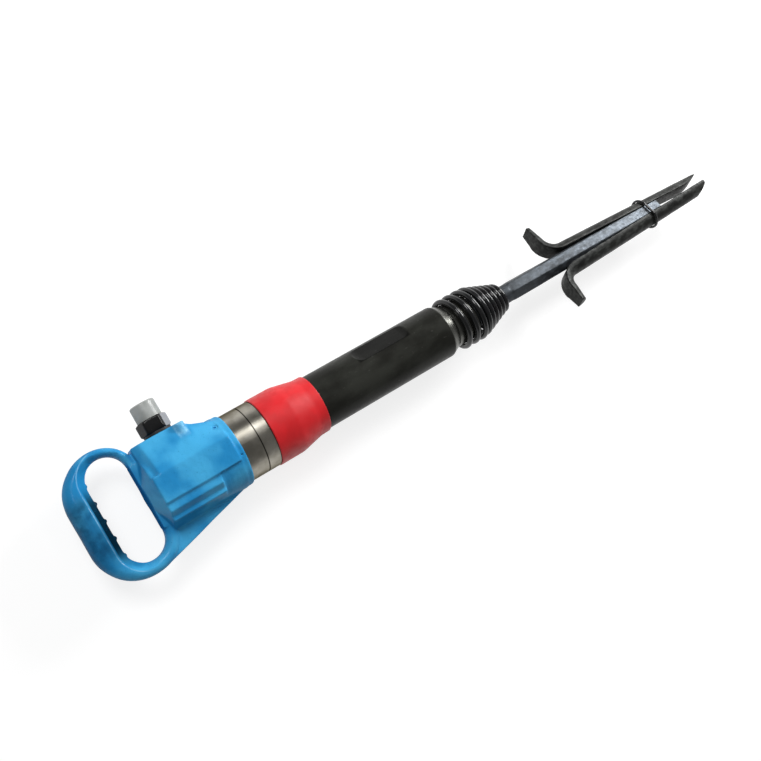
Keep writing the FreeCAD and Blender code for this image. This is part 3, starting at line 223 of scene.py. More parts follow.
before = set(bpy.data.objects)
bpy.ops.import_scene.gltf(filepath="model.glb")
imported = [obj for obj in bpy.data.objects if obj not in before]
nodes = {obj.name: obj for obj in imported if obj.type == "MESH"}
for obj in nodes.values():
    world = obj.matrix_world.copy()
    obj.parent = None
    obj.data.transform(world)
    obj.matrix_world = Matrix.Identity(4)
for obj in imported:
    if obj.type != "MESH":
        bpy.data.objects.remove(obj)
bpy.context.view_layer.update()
cylinder_low, cylinder_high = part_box("cylinder")
AXIS_START = (cylinder_low + cylinder_high) / 2
AXIS_START.x = cylinder_low.x


def spot(x, y=0.0, z=0.0):
    """A place in metres from millimetres along and beside the axis."""
    return AXIS_START + Vector((x, y, z)) * MM


def station(x):
    """The X in metres of a station on the axis."""
    return spot(x).x


def add(tree, kind, inputs=(), out=0, **settings):
    """Adds a node with its settings, sets or links its inputs, and gives one output, or all for None."""
    made = tree.nodes.new(kind)
    for name, value in settings.items():
        setattr(made, name, value)
    for key, value in inputs.items() if isinstance(inputs, dict) else enumerate(inputs):
        if isinstance(value, bpy.types.NodeSocket):
            tree.links.new(value, made.inputs[key])
        else:
            made.inputs[key].default_value = value
    return made.outputs if out is None else made.outputs[out]


def new_finish(name, sockets):
    """A new material, its node tree, its shader and the object's own coordinates."""
    made = bpy.data.materials.new(name)
    made.use_nodes = True
    tree = made.node_tree
    tree.nodes.clear()
    surface = add(tree, "ShaderNodeBsdfPrincipled", sockets)
    add(tree, "ShaderNodeOutputMaterial", {"Surface": surface}, None)
    return made, tree, surface.node, add(tree, "ShaderNodeTexCoord", (), "Object")


def grain(tree, place, size_mm, detail=3.0, stretch=(1, 1, 1)):
    """Noise whose lumps are about size_mm across."""
    scaled = add(tree, "ShaderNodeMapping", {"Vector": place, "Scale": stretch})
    settings = {"Vector": scaled, "Scale": 1 / (size_mm * MM), "Detail": detail}
    return add(tree, "ShaderNodeTexNoise", settings, "Fac")


def away(tree, value, centre):
    """How far a value lies from a centre, to either side."""
    gap = add(tree, "ShaderNodeMath", (value, centre), operation="SUBTRACT")
    return add(tree, "ShaderNodeMath", (gap,), operation="ABSOLUTE")


def zone(tree, share, *limits):
    """A share that holds inside limits: a value, where nothing is left of it, and where it is whole."""
    for value, nothing, whole in limits:
        share = add(tree, "ShaderNodeMapRange", (value, nothing, whole, 0.0, share), **SMOOTH)
    return share


def layered(tree, code, *layers):
    """A colour with others laid over it, each by its share."""
    colour = linear(code)
    for share, over in layers:
        colour = add(tree, "ShaderNodeMix", {0: share, 6: colour, 7: linear(over)}, 2, data_type="RGBA")
    return colour


def set_surface(tree, shader, colour, roughness, *bumps):
    """Links a shader's colour and roughness, and stacks bumps of (height, depth in millimetres)."""
    tree.links.new(colour, shader.inputs["Base Color"])
    tree.links.new(roughness, shader.inputs["Roughness"])
    under = {}
    for height, depth_mm in bumps:
        settings = {"Height": height, "Distance": depth_mm * MM, **under}
        under = {"Normal": add(tree, "ShaderNodeBump", settings)}
    tree.links.new(under["Normal"], shader.inputs["Normal"])


def hole_distance(tree, x, y):
    """How far a place lies outside the hand hole's outline, in the casting's plane."""
    radius = HOLE_LENGTH / 2
    straight = HOLE_WIDTH / 2 - radius
    along = add(tree, "ShaderNodeMath", (x, station(BODY_REAR - radius)), operation="SUBTRACT")
    across = away(tree, y, spot(0.0, HOLE_CENTRE_Y).y)
    across = add(tree, "ShaderNodeMath", (across, straight * MM), operation="SUBTRACT", use_clamp=True)
    reach = add(tree, "ShaderNodeCombineXYZ", (along, across))
    reach = add(tree, "ShaderNodeVectorMath", (reach,), "Value", operation="LENGTH")
    return add(tree, "ShaderNodeMath", (reach, radius * MM), operation="SUBTRACT")


def blue_enamel():
    """Gloss enamel on a steel casting: bright blue, cloudy and wavy, with grime where it is held, and
    with painted shade and painted highlights.
    """
    gloss = {"Coat Roughness": 0.18, "Specular IOR Level": 0.0}
    made, tree, shader, place = new_finish("blue_enamel_on_casting", gloss)
    x, y, z = add(tree, "ShaderNodeSeparateXYZ", (place,), None)
    cloud = zone(tree, 1.0, (grain(tree, place, 38.0, 2.0), 0.35, 0.65))

    # Blotches of grime on the grip, and the shade on its inner side behind the planed edge
    held = (away(tree, y, spot(0.0, GRIME_AND_SHADE_CENTRE_Y).y), 0.05, 0.024)
    blotch = (grain(tree, place, 14.0, 4.0), 0.35, 0.7, 0.4, 0.75)
    blotch = add(tree, "ShaderNodeMapRange", blotch, **SMOOTH)
    grime = zone(tree, blotch, (x, station(HOLE_REAR), station(HOLE_REAR - 14.0)), held)
    beside = hole_distance(tree, x, y)
    behind = (x, station(BODY_REAR - 26.0), station(BODY_REAR - 34.0))
    inner_side = (beside, (PLANED_WIDTH - 1.6) * MM, (PLANED_WIDTH - 3.0) * MM)
    shade = zone(tree, 0.92, inner_side, behind, held)

    # The planed edge on the upper side: a painted highlight along it, a pale line with gaps
    gaps = (grain(tree, place, 18.0, 2.0), 0.3, 0.6, 0.125, 0.5)
    gaps = add(tree, "ShaderNodeMapRange", gaps, **SMOOTH)
    line = (away(tree, beside, CREASE_FROM_HOLE * MM), 0.001, 0.0003)
    crease = zone(tree, gaps, line, behind, (z, spot(0, 0, 3).z, spot(0, 0, 6).z))

    # The body's rear face in the hand hole: painted shade in a deeper blue, and without gloss
    face = (x, station(BODY_REAR + 1.4), station(BODY_REAR + 0.5))
    not_grip = (x, station(BODY_REAR - 6.0), station(BODY_REAR - 3.0))
    beyond_arms = (away(tree, y, spot(0.0, HOLE_CENTRE_Y).y), 0.046, 0.036)
    rear = zone(tree, 1.0, face, not_grip, beyond_arms)
    rear_shade = add(tree, "ShaderNodeMath", (rear, 0.75), operation="MULTIPLY")
    coat = add(tree, "ShaderNodeMapRange", (rear, 0.0, 1.0, 0.25, 0.0), **SMOOTH)
    tree.links.new(coat, shader.inputs["Coat Weight"])

    # The lug beside the boss: a painted highlight, pale in patches
    patch = (grain(tree, place, 7.0, 2.0), 0.35, 0.6, 0.3, 0.6)
    patch = add(tree, "ShaderNodeMapRange", patch, **SMOOTH)
    round_lug = (away(tree, x, station(LUG_X)), 0.0078, 0.005)
    on_top = (z, spot(0, 0, 17).z, spot(0, 0, 20).z)
    at_boss = (y, spot(0, 35).y, spot(0, 44).y)
    lug_highlight = zone(tree, patch, round_lug, on_top, at_boss)

    # Small darker flecks all over
    fleck = zone(tree, 0.55, (grain(tree, place, 1.6, 2.0), 0.66, 0.73))
    paint = layered(
        tree, "#288CC8", (cloud, "#48AEE2"), (grime, "#0C3A5C"), (shade, "#06202E"),
        (crease, "#9AD2F2"), (rear_shade, "#1E6CB4"), (lug_highlight, "#98DCF8"), (fleck, "#2474A8"))
    dull = add(tree, "ShaderNodeMapRange", (grain(tree, place, 7.0), 0.3, 0.7, 0.24, 0.38), **SMOOTH)
    rough = add(tree, "ShaderNodeMath", (grime, 0.12, dull), operation="MULTIPLY_ADD")
    mould_waves, brush_skin = (grain(tree, place, 9.0, 1.0), 0.6), (grain(tree, place, 1.8, 2.0), 0.1)
    set_surface(tree, shader, paint, rough, mould_waves, brush_skin)
    return made


def turned_steel(name, light, dark, roughness, seams=()):
    """Bare steel from the lathe: fine rings round the axis make a bright band along it, under oil.

    The rings are feed marks, drawn some four times as coarse as real ones, so that they show. Each
    seam is the station of a dark line.
    """
    brushed = {"Metallic": 1.0, "Anisotropic": 0.9, "Anisotropic Rotation": 0.25}
    brushed["Specular Tint"] = (0.25, 0.24, 0.21, 1.0)
    made, tree, shader, place = new_finish(name, brushed)
    around = add(tree, "ShaderNodeTangent", direction_type="RADIAL", axis="X")
    tree.links.new(around, shader.inputs["Tangent"])
    wave = {"Vector": place, "Scale": WAVE_LENGTH / (LATHE_RING * MM), "Distortion": 0.6, "Detail": 1.0}
    rings = add(tree, "ShaderNodeTexWave", wave, "Fac", bands_direction="X")
    streaks = grain(tree, place, 3.0, 3.0, (14.0, 1.0, 1.0))
    cloud = zone(tree, 1.0, (grain(tree, place, 22.0, 3.0), 0.35, 0.65))
    layers = [(cloud, dark), (zone(tree, 0.4, (streaks, 0.45, 0.75)), dark)]
    x = add(tree, "ShaderNodeSeparateXYZ", (place,))
    for seam in seams:
        near = (away(tree, x, station(seam)), 0.0011, 0.0003)
        layers.append((zone(tree, 0.9, near), "#14120F"))
    rough = (streaks, 0.3, 0.7, roughness, roughness + 0.12)
    rough = add(tree, "ShaderNodeMapRange", rough, **SMOOTH)
    set_surface(tree, shader, layered(tree, light, *layers), rough, (rings, 0.014), (streaks, 0.015))
    return made


def milled_flats(tree, place, x):
    """The share of each of the barrel's two flats, painted a little darker than the turned skin as a
    painted dark reflection.
    """
    from_axis = add(tree, "ShaderNodeVectorMath", (place, AXIS_START), operation="SUBTRACT")
    half = (FLAT_TO - FLAT_FROM) / 2
    between_ends = (away(tree, x, station((FLAT_FROM + FLAT_TO) / 2)), half * MM, (half - 3.0) * MM)
    shares = []
    for degrees in FLAT_ANGLES:
        way = (0.0, math.cos(math.radians(degrees)), math.sin(math.radians(degrees)))
        height = add(tree, "ShaderNodeVectorMath", (from_axis, way), "Value", operation="DOT_PRODUCT")
        on_side = (height, (FLAT_FLOOR - 0.5) * MM, (FLAT_FLOOR - 0.1) * MM)
        shares.append(zone(tree, 0.7, between_ends, on_side))
    return shares


def black_phosphate(
        name, light, dark, roughness, oil, tooth_mm=0.02, highlight_from=None, bare_from=None):
    """Phosphated and oiled steel: near black, softly shiny, with a fine tooth and paler scratches.

    Past a given station it is painted pale, a painted highlight on the side towards the lamp. With
    bare_from it is the barrel's: its two flats are painted darker, a painted dark reflection, and from
    there on it is bare, glinting steel.
    """
    film = {"Metallic": 0.1, "Coat Weight": oil, "Coat Roughness": 0.15, "Specular IOR Level": 0.03}
    made, tree, shader, place = new_finish(name, film)
    x = add(tree, "ShaderNodeSeparateXYZ", (place,))
    cloud = zone(tree, 1.0, (grain(tree, place, 30.0, 4.0, (0.5, 1.0, 1.0)), 0.35, 0.7))
    scuffs = zone(tree, 0.45, (grain(tree, place, 2.2, 5.0, (0.3, 1.0, 1.0)), 0.66, 0.75))
    layers = [(cloud, light), (scuffs, "#5A5A56")]
    rough = (grain(tree, place, 5.0), 0.3, 0.7, roughness, roughness + 0.13)
    rough = add(tree, "ShaderNodeMapRange", rough, **SMOOTH)
    if highlight_from is not None:
        # A painted highlight: paler from the given station on, on the side towards the lamp
        wear_and_highlight = (x, station(highlight_from), station(highlight_from + 1.2))
        layers.append((zone(tree, 0.85, wear_and_highlight), "#A4A6AA"))
    if bare_from is not None:
        # The flats painted near black, a painted dark reflection
        layers += [(flat, "#060606") for flat in milled_flats(tree, place, x)]
        bare = zone(tree, 1.0, (x, station(bare_from), station(bare_from + 3.0)))
        layers.append((bare, "#5C5C58"))
        metallic = add(tree, "ShaderNodeMath", (bare, 0.8, 0.1), operation="MULTIPLY_ADD")
        tree.links.new(metallic, shader.inputs["Metallic"])
        rough = add(tree, "ShaderNodeMath", (bare, -0.1, rough), operation="MULTIPLY_ADD")
    tooth, lumps = (grain(tree, place, 0.9, 2.0), tooth_mm), (grain(tree, place, 12.0, 1.0), 0.06)
    set_surface(tree, shader, layered(tree, dark, *layers), rough, tooth, lumps)
    return made


def forged_steel(
        name, light, dark, wear_and_highlight, rubbed_share, metallic, roughness, scale_until=None):
    """Forged bar with its scale: dark and faintly lumpy, paler where the scale is rubbed off."""
    made, tree, shader, place = new_finish(name, {"Metallic": metallic, "Specular IOR Level": 0.15})
    cloud = zone(tree, 1.0, (grain(tree, place, 26.0, 3.0, (0.35, 1.0, 1.0)), 0.35, 0.68))
    worn = (grain(tree, place, 5.0, 4.0, (0.5, 1.0, 1.0)), 0.42, 0.7)
    bright = zone(tree, rubbed_share, worn)
    layers = [(cloud, light), (bright, wear_and_highlight)]
    if scale_until is not None:
        x = add(tree, "ShaderNodeSeparateXYZ", (place,))
        scaly = (x, station(scale_until), station(scale_until - 90.0))
        layers.append((zone(tree, 0.65, scaly), dark))
    rough = (grain(tree, place, 4.0, 4.0), 0.3, 0.7, roughness, roughness + 0.14)
    rough = add(tree, "ShaderNodeMapRange", rough, **SMOOTH)
    lumps, scale = (grain(tree, place, 6.0, 2.0), 0.1), (grain(tree, place, 1.0, 3.0), 0.04)
    set_surface(tree, shader, layered(tree, dark, *layers), rough, lumps, scale)
    return made


def moulded(name, light, dark, roughness, coat, tooth_mm):
    """A moulded rubber or plastic: even colour, soft shine, faint mould texture."""
    made, tree, shader, place = new_finish(name, {"Coat Weight": coat, "Coat Roughness": 0.22})
    cloud = zone(tree, 1.0, (grain(tree, place, 24.0, 3.0), 0.35, 0.65))
    rough = (grain(tree, place, 6.0), 0.3, 0.7, roughness, roughness + 0.12)
    rough = add(tree, "ShaderNodeMapRange", rough, **SMOOTH)
    waves, tooth = (grain(tree, place, 14.0, 1.0), 0.1), (grain(tree, place, tooth_mm, 2.0), 0.02)
    set_surface(tree, shader, layered(tree, light, (cloud, dark)), rough, waves, tooth)
    return made


def turned_brass():
    """Turned brass: yellow, dulled in clouds by air and oil."""
    made, tree, shader, place = new_finish("turned_brass", {"Metallic": 1.0})
    cloud = zone(tree, 1.0, (grain(tree, place, 5.0, 3.0), 0.35, 0.65))
    rough = add(tree, "ShaderNodeMapRange", (cloud, 0.0, 1.0, 0.25, 0.4), **SMOOTH)
    rings = (grain(tree, place, 0.6, 2.0, (1.0, 8.0, 1.0)), 0.01)
    set_surface(tree, shader, layered(tree, "#C9A45A", (cloud, "#8E6F34")), rough, rings)
    return made


# The casting: bright, cloudy blue, with grime where hands reach, painted shade, and painted highlights
# on the planed edge and the lug
enamel = blue_enamel()
# Sleeve and head: bright bands, the joint's seams as dark lines
sleeve_steel = turned_steel("turned_sleeve_steel", "#B1ADA3", "#908C82", 0.3, (0.0, HEAD_LENGTH - 0.3))
# The snap ring, dull in its groove
ring_steel = turned_steel("dulled_ring_steel", "#4A4742", "#2E2C29", 0.4)
# Hidden pieces that are ground: clean and bright
inner_steel = turned_steel("ground_inner_steel", "#9A9A98", "#76767A", 0.2)
# The barrel: black with a faint green, oiled, bare where it narrows to the nose
barrel_black = black_phosphate(
    "phosphated_barrel_steel", "#333430", "#20201D", 0.3, 0.15, bare_from=BARREL_FRONT - 1.0)
# The inlet's hexagon: black, with a painted highlight on the side next to the lamp
nut_black = black_phosphate(
    "phosphated_hexagon_steel", "#262626", "#141415", 0.26, 0.3, 0.01, INLET_X + 9.0)
# Spring wire and the feathers' ring: black with sharp, oily glints
spring_black = black_phosphate("black_oxide_spring_wire", "#1E1F20", "#0F0F10", 0.16, 0.7, 0.005)
# The wedge: grey, rubbed bright where the feathers slide on it
tool_steel = forged_steel(
    "forged_wedge_steel", "#54595E", "#3A3D40", "#666D75", 0.55, 0.7, 0.46, WEDGE_START + 40.0)
# The feathers: black scale, a little paler on edges that rub
feather_steel = forged_steel(
    "forged_feather_steel", "#232422", "#121312", "#505250", 0.4, 0.25, 0.4)
# The exhaust sleeve: even, saturated red with a soft shine
red_rubber = moulded("red_polyurethane", "#E01A22", "#D0141C", 0.42, 0.05, 1.2)
# Seals, gasket and washer: matt black
seal_black = moulded("nitrile_rubber", "#1B1B1B", "#111111", 0.55, 0.0, 0.8)
# The dust cap: light grey, with a slight gloss
cap_grey = moulded("grey_cap_plastic", "#AAADAB", "#8F9390", 0.34, 0.1, 1.0)
# Throttle bush and strainer: yellow metal
brass = turned_brass()

NODE_FINISH = {
    "cylinder": barrel_black,
    "snap_ring": ring_steel,
    "connecting_sleeve": sleeve_steel,
    "valve_cover": inner_steel,
    "valve_plate": inner_steel,
    "valve_chest": inner_steel,
    "chest_gasket": seal_black,
    "locating_pins": inner_steel,
    "hammer": inner_steel,
    "tool_bush": inner_steel,
    "exhaust_sleeve": red_rubber,
    "retaining_spring": spring_black,
    "splitting_wedge": tool_steel,
    "feather_upper": feather_steel,
    "feather_lower": feather_steel,
    "feather_ring": spring_black,
    "handle": enamel,
    "collar_seal_ring": seal_black,
    "lock_screws": enamel,
    "throttle_bush": brass,
    "throttle_valve": inner_steel,
    "throttle_spring": spring_black,
    "handle_spring": spring_black,
    "inlet_nipple": nut_black,
    "inlet_seal": seal_black,
    "inlet_strainer": brass,
    "inlet_cap": cap_grey,
}


def dress_nodes():
    """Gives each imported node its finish."""
    for name, finish in NODE_FINISH.items():
        slots = nodes[name].data.materials
        slots.clear()
        slots.append(finish)


def new_piece(name, mesh, finish, body, slot, *replaced):
    """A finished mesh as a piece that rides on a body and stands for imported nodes."""
    piece = bpy.data.objects.new(name, mesh)
    bpy.context.scene.collection.objects.link(piece)
    mesh.materials.clear()
    mesh.materials.append(finish)
    if body:
        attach(piece, body)
    if replaced:
        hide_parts(*replaced)
    return piece


def voxel_skin(node, voxel_mm):
    """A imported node's outside as an even net of small faces."""
    bm = bmesh.new()
    bm.from_mesh(nodes[node].data)
    bmesh.ops.remove_doubles(bm, verts=bm.verts, dist=0.01 * MM)
    mesh = bpy.data.meshes.new(node + "_copy")
    bm.to_mesh(mesh)
    bm.free()
    holder = bpy.data.objects.new("voxel_holder", mesh)
    bpy.context.scene.collection.objects.link(holder)
    net = holder.modifiers.new("net", "REMESH")
    net.mode = "VOXEL"
    net.voxel_size = voxel_mm * MM
    skin = bpy.data.meshes.new_from_object(holder.evaluated_get(bpy.context.evaluated_depsgraph_get()))
    bpy.data.objects.remove(holder)
    return skin


def net_arrays(mesh):
    """The mesh's points in millimetres from the axis start, and its edges, as arrays."""
    points = np.empty(len(mesh.vertices) * 3)
    mesh.vertices.foreach_get("co", points)
    edges = np.empty(len(mesh.edges) * 2, int)
    mesh.edges.foreach_get("vertices", edges)
    return (points.reshape(-1, 3) - np.array(AXIS_START)) / MM, edges.reshape(-1, 2)


def rounded(points, edges, weight, rounds):
    """Points drawn towards the middle of their neighbours, by weight."""
    count = np.bincount(edges.ravel(), minlength=len(points))[:, None]
    for _ in range(rounds):
        total = np.zeros_like(points)
        np.add.at(total, edges[:, 0], points[edges[:, 1]])
        np.add.at(total, edges[:, 1], points[edges[:, 0]])
        points = points + weight * (total / count - points)
    return points


def uneven(points, size_mm, depth_mm):
    """Points shifted by smooth noise, as a mould or a hammer leaves them, alike in each run."""
    places = [Vector(point) / size_mm for point in points.tolist()]
    shifts = [[noise.noise(place + start) for start in NOISE_STARTS] for place in places]
    return points + depth_mm * np.array(shifts)


def set_points(mesh, points):
    """Puts points in millimetres back in the mesh and shades it smooth."""
    mesh.vertices.foreach_set("co", (points * MM + np.array(AXIS_START)).ravel())
    mesh.shade_smooth()
    mesh.update()


def handle_casting():
    """The blue casting: soft edges, a wavy skin, and the grip's inner side planed off to a crease."""
    skin = voxel_skin("handle", VOXEL)
    points, edges = net_arrays(skin)
    points = rounded(points, edges, *POLISH)
    radius = HOLE_LENGTH / 2
    straight = HOLE_WIDTH / 2 - radius
    x = points[:, 0] - (BODY_REAR - radius)
    y = points[:, 1] - np.clip(points[:, 1], HOLE_CENTRE_Y - straight, HOLE_CENTRE_Y + straight)
    reach = np.hypot(x, y)
    beside = reach - radius
    # Whole on the grip's side of the hole, none on the body's side
    share = np.clip((-x / np.maximum(reach, 1.0) + 0.15) / 0.5, 0.0, 1.0)
    slope = (GRIP_HALF_HEIGHT - PLANED_EDGE_HALF_HEIGHT) / PLANED_WIDTH
    limit = PLANED_EDGE_HALF_HEIGHT + slope * np.maximum(beside, 0.0)
    planed = np.sign(points[:, 2]) * np.minimum(np.abs(points[:, 2]), limit)
    points[:, 2] += np.where(beside < PLANED_WIDTH, share * (planed - points[:, 2]), 0.0)
    points = rounded(points, edges, *PLANED_POLISH)
    set_points(skin, uneven(points, *CASTING_WAVE))
    new_piece("handle_casting", skin, enamel, "handle", "blue_enamel", "handle")


def filleted(corners):
    """A closed outline from corners (along, out, radius), with each corner rounded by its radius."""
    outline = []
    for i, (along, out, radius) in enumerate(corners):
        here = np.array([along, out])
        back = np.array(corners[i - 1][:2]) - here
        on = np.array(corners[(i + 1) % len(corners)][:2]) - here
        a, b = back / np.linalg.norm(back), on / np.linalg.norm(on)
        half = math.acos(max(-1.0, min(1.0, a @ b))) / 2
        if radius <= 0 or half > math.radians(89.5):
            outline.append(here)
            continue
        reach = min(radius / math.tan(half), 0.49 * np.linalg.norm(back), 0.49 * np.linalg.norm(on))
        radius = reach * math.tan(half)
        centre = here + (a + b) / np.linalg.norm(a + b) * radius / math.sin(half)
        first, last = here + a * reach - centre, here + b * reach - centre
        start = math.atan2(first[1], first[0])
        turn = (math.atan2(last[1], last[0]) - start + math.pi) % math.tau - math.pi
        steps = max(2, math.ceil(abs(math.degrees(turn)) / ROUNDING_STEP))
        for k in range(steps + 1):
            angle = start + turn * k / steps
            outline.append(centre + radius * np.array([math.cos(angle), math.sin(angle)]))
    return outline


def divided_at_flats(outline):
    """The barrel's outline, with the outer line that the flats cut into divided finely."""
    points = []
    for here, on in zip(outline, outline[1:] + outline[:1]):
        points.append(here)
        low, high = sorted((here[0], on[0]))
        if here[1] > FLAT_FLOOR and low < FLAT_TO and high > FLAT_FROM:
            count = math.ceil((high - low) / BARREL_STEP)
            points += [here + (on - here) * k / count for k in range(1, count)]
    return points


def even_angles(count):
    """Angles spread evenly over a full turn."""
    return np.arange(count) * math.tau / count


def shell(rings, loop=True, crease=35.0):
    """A closed mesh over rings of points in millimetres: a wall from a loop, else with covered ends."""
    bm = bmesh.new()
    rows = [[bm.verts.new(spot(*point)) for point in ring] for ring in rings]
    pairs = list(zip(rows, rows[1:] + rows[:1]))
    for a, b in pairs if loop else pairs[:-1]:
        for j in range(len(a)):
            bm.faces.new((a[j - 1], a[j], b[j], b[j - 1]))
    if not loop:
        bm.faces.new(rows[0])
        bm.faces.new(rows[-1])
    bmesh.ops.remove_doubles(bm, verts=bm.verts, dist=0.0005 * MM)
    bmesh.ops.recalc_face_normals(bm, faces=bm.faces)
    mesh = bpy.data.meshes.new("shell")
    bm.to_mesh(mesh)
    bm.free()
    mesh.shade_smooth()
    mesh.set_sharp_from_angle(angle=math.radians(crease))
    return mesh


def lathe(outline, count=160):
    """A shell turned about the pick's axis from (along, out) points."""
    angles = even_angles(count)
    return shell([[(x, r * math.cos(t), r * math.sin(t)) for t in angles] for x, r in outline])


def about_inlet(outline, count=120, shape=None):
    """A shell turned about the inlet's axis; shape(along, out, angles) may bend a ring out of round."""
    angles = even_angles(count)
    rings = []
    for y, r in outline:
        radii = shape(y, r, angles) if shape else np.full(count, r)
        rings.append([(INLET_X + q * math.cos(t), y, q * math.sin(t)) for q, t in zip(radii, angles)])
    return shell(rings)


def cylinder_pieces():
    """The head in bare steel, and the black barrel with its two flats."""
    head = filleted([
        (0.0, CHEST_POCKET_RADIUS, 0.0),
        (0.0, HEAD_RADIUS, 0.5),
        (HEAD_LENGTH, HEAD_RADIUS, 0.5),
        (HEAD_LENGTH, CHEST_POCKET_RADIUS, 0.0),
    ])
    new_piece("cylinder_head", lathe(head, 200), sleeve_steel, "pick", "turned_steel")
    barrel = filleted([
        (HEAD_LENGTH, BORE_RADIUS, 0.0),
        (HEAD_LENGTH, SHOULDER_RADIUS, 0.0),
        (SHOULDER_FRONT, SHOULDER_RADIUS, 1.0),
        (SHOULDER_FRONT, BARREL_RADIUS, 0.0),
        (BARREL_FRONT, BARREL_RADIUS, 6.0),
        (NOSE_REAR, NOSE_RADIUS, 1.5),
        (NOSE_FRONT, NOSE_RADIUS, 1.2),
        (NOSE_FRONT, BUSH_RADIUS, 0.0),
        (BUSH_REAR, BUSH_RADIUS, 0.0),
        (BUSH_REAR, BORE_RADIUS, 0.0),
    ])
    edge = math.acos(FLAT_FLOOR / BARREL_RADIUS)
    rest = math.pi - 2 * edge
    angles = []
    for degrees in FLAT_ANGLES:
        turn = math.radians(degrees)
        angles += [turn + edge * k / FLAT_STEPS for k in range(-FLAT_STEPS, FLAT_STEPS + 1)]
        angles += [turn + edge + rest * k / ROUND_STEPS for k in range(1, ROUND_STEPS)]
    angles = np.array(angles)
    lift = FLAT_CUTTER_RADIUS - (BARREL_RADIUS - FLAT_FLOOR)
    run_out = math.sqrt(FLAT_CUTTER_RADIUS ** 2 - lift ** 2)
    rings = []
    for x, r in divided_at_flats(barrel):
        beyond = max(FLAT_FROM + run_out - x, x - FLAT_TO + run_out, 0.0)
        limit = math.inf
        if beyond < run_out:
            sunk = math.sqrt(FLAT_CUTTER_RADIUS ** 2 - beyond ** 2)
            limit = FLAT_FLOOR + FLAT_CUTTER_RADIUS - sunk
        ring = np.column_stack([np.full(len(angles), x), r * np.cos(angles), r * np.sin(angles)])
        for degrees in FLAT_ANGLES:
            way = np.array([0.0, math.cos(math.radians(degrees)), math.sin(math.radians(degrees))])
            over = np.maximum(ring @ way - limit, 0.0)
            ring = ring - over[:, None] * way
        rings.append(ring)
    mesh = shell(rings, crease=12.0)
    new_piece("cylinder_barrel", mesh, barrel_black, "pick", "black_phosphated_steel", "cylinder")


def exhaust_moulding():
    """The red sleeve, with the soft corners of a moulding."""
    outline = filleted([
        (HEAD_LENGTH, EXHAUST_SEAT, 0.0),
        (HEAD_LENGTH, EXHAUST_RADIUS, 1.3),
        (EXHAUST_CONE - 1.0, EXHAUST_RADIUS, 26.0),
        (EXHAUST_LIP, EXHAUST_LIP_RADIUS + 0.3, 30.0),
        (EXHAUST_END, EXHAUST_LIP_RADIUS, 0.9),
        (EXHAUST_END, EXHAUST_THROAT, 0.3),
        (SHOULDER_FRONT, EXHAUST_THROAT, 0.0),
        (SHOULDER_FRONT, EXHAUST_SEAT, 0.0),
    ])
    mesh = lathe(outline, 200)
    new_piece("exhaust_moulding", mesh, red_rubber, "pick", "red_rubber", "exhaust_sleeve")


def ramp(value, start, blend):
    """Zero before start, then a straight climb of one in one, joined by a smooth bend."""
    past = value - start
    if past <= 0:
        return 0.0
    return past * past / (2 * blend) if past < blend else past - blend / 2


def retaining_centre(turn):
    """The retaining spring's centre line at a count of turns: even on the nose, then a closing cone."""
    coil_radius = NOSE_RADIUS + SPRING_FORM_GAP + RETAINING_WIRE
    x = NOSE_REAR + RETAINING_WIRE + SPRING_AHEAD_OF_TAPER + SPRING_PITCH_ON_NOSE * turn
    closer = SPRING_PITCH_ON_NOSE - SPRING_PITCH_ON_CONE
    x -= closer * ramp(turn, SPRING_TURNS_ON_NOSE, SPRING_PITCH_BLEND)
    cone_start = NOSE_REAR + SPRING_CONE_START
    cone_length = (coil_radius - SPRING_END_RADIUS) / SPRING_CONE_SLOPE
    run = ramp(x, cone_start, SPRING_CONE_BLEND) - ramp(x, cone_start + cone_length, SPRING_CONE_BLEND)
    radius = coil_radius - SPRING_CONE_SLOPE * run
    angle = math.tau * turn
    return spot(x, radius * math.cos(angle), radius * math.sin(angle))


def wire_tree():
    """A Geometry Nodes tree that turns a path into a closed round wire."""
    tree = bpy.data.node_groups.new("wire_along_path", "GeometryNodeTree")
    kinds = {"Path": "Geometry", "Wire radius": "Float", "Sides": "Int", "Finish": "Material"}
    for name, kind in kinds.items():
        tree.interface.new_socket(name, in_out="INPUT", socket_type="NodeSocket" + kind)
    tree.interface.new_socket("Wire", in_out="OUTPUT", socket_type="NodeSocketGeometry")
    given = add(tree, "NodeGroupInput", (), None)
    size = {"Resolution": given["Sides"], "Radius": given["Wire radius"]}
    ring = add(tree, "GeometryNodeCurvePrimitiveCircle", size)
    sweep = {"Curve": given["Path"], "Profile Curve": ring, "Fill Caps": True}
    tube = add(tree, "GeometryNodeCurveToMesh", sweep)
    smooth = add(tree, "GeometryNodeSetShadeSmooth", {"Geometry": tube})
    real = add(tree, "GeometryNodeRealizeInstances", (smooth,))
    dressed = add(tree, "GeometryNodeSetMaterial", {"Geometry": real, "Material": given["Finish"]})
    add(tree, "NodeGroupOutput", (dressed,), None)
    return tree


WIRE_TREE = wire_tree()


def wire_mesh(points, radius_mm, finish, sides=20, closed=False):
    """A round wire along points, as a plain mesh."""
    path = bpy.data.curves.new("wire_path", "CURVE")
    path.dimensions = "3D"
    line = path.splines.new("POLY")
    line.points.add(len(points) - 1)
    for corner, point in zip(line.points, points):
        corner.co = (*point, 1.0)
    line.use_cyclic_u = closed
    holder = bpy.data.objects.new("wire_holder", path)
    bpy.context.scene.collection.objects.link(holder)
    maker = holder.modifiers.new("wire", "NODES")
    maker.node_group = WIRE_TREE
    values = {"Wire radius": radius_mm * MM, "Sides": sides, "Finish": finish}
    for item in WIRE_TREE.interface.items_tree:
        if item.in_out == "INPUT" and item.name in values:
            maker[item.identifier] = values[item.name]
    mesh = bpy.data.meshes.new_from_object(holder.evaluated_get(bpy.context.evaluated_depsgraph_get()))
    bpy.data.objects.remove(holder)
    return mesh


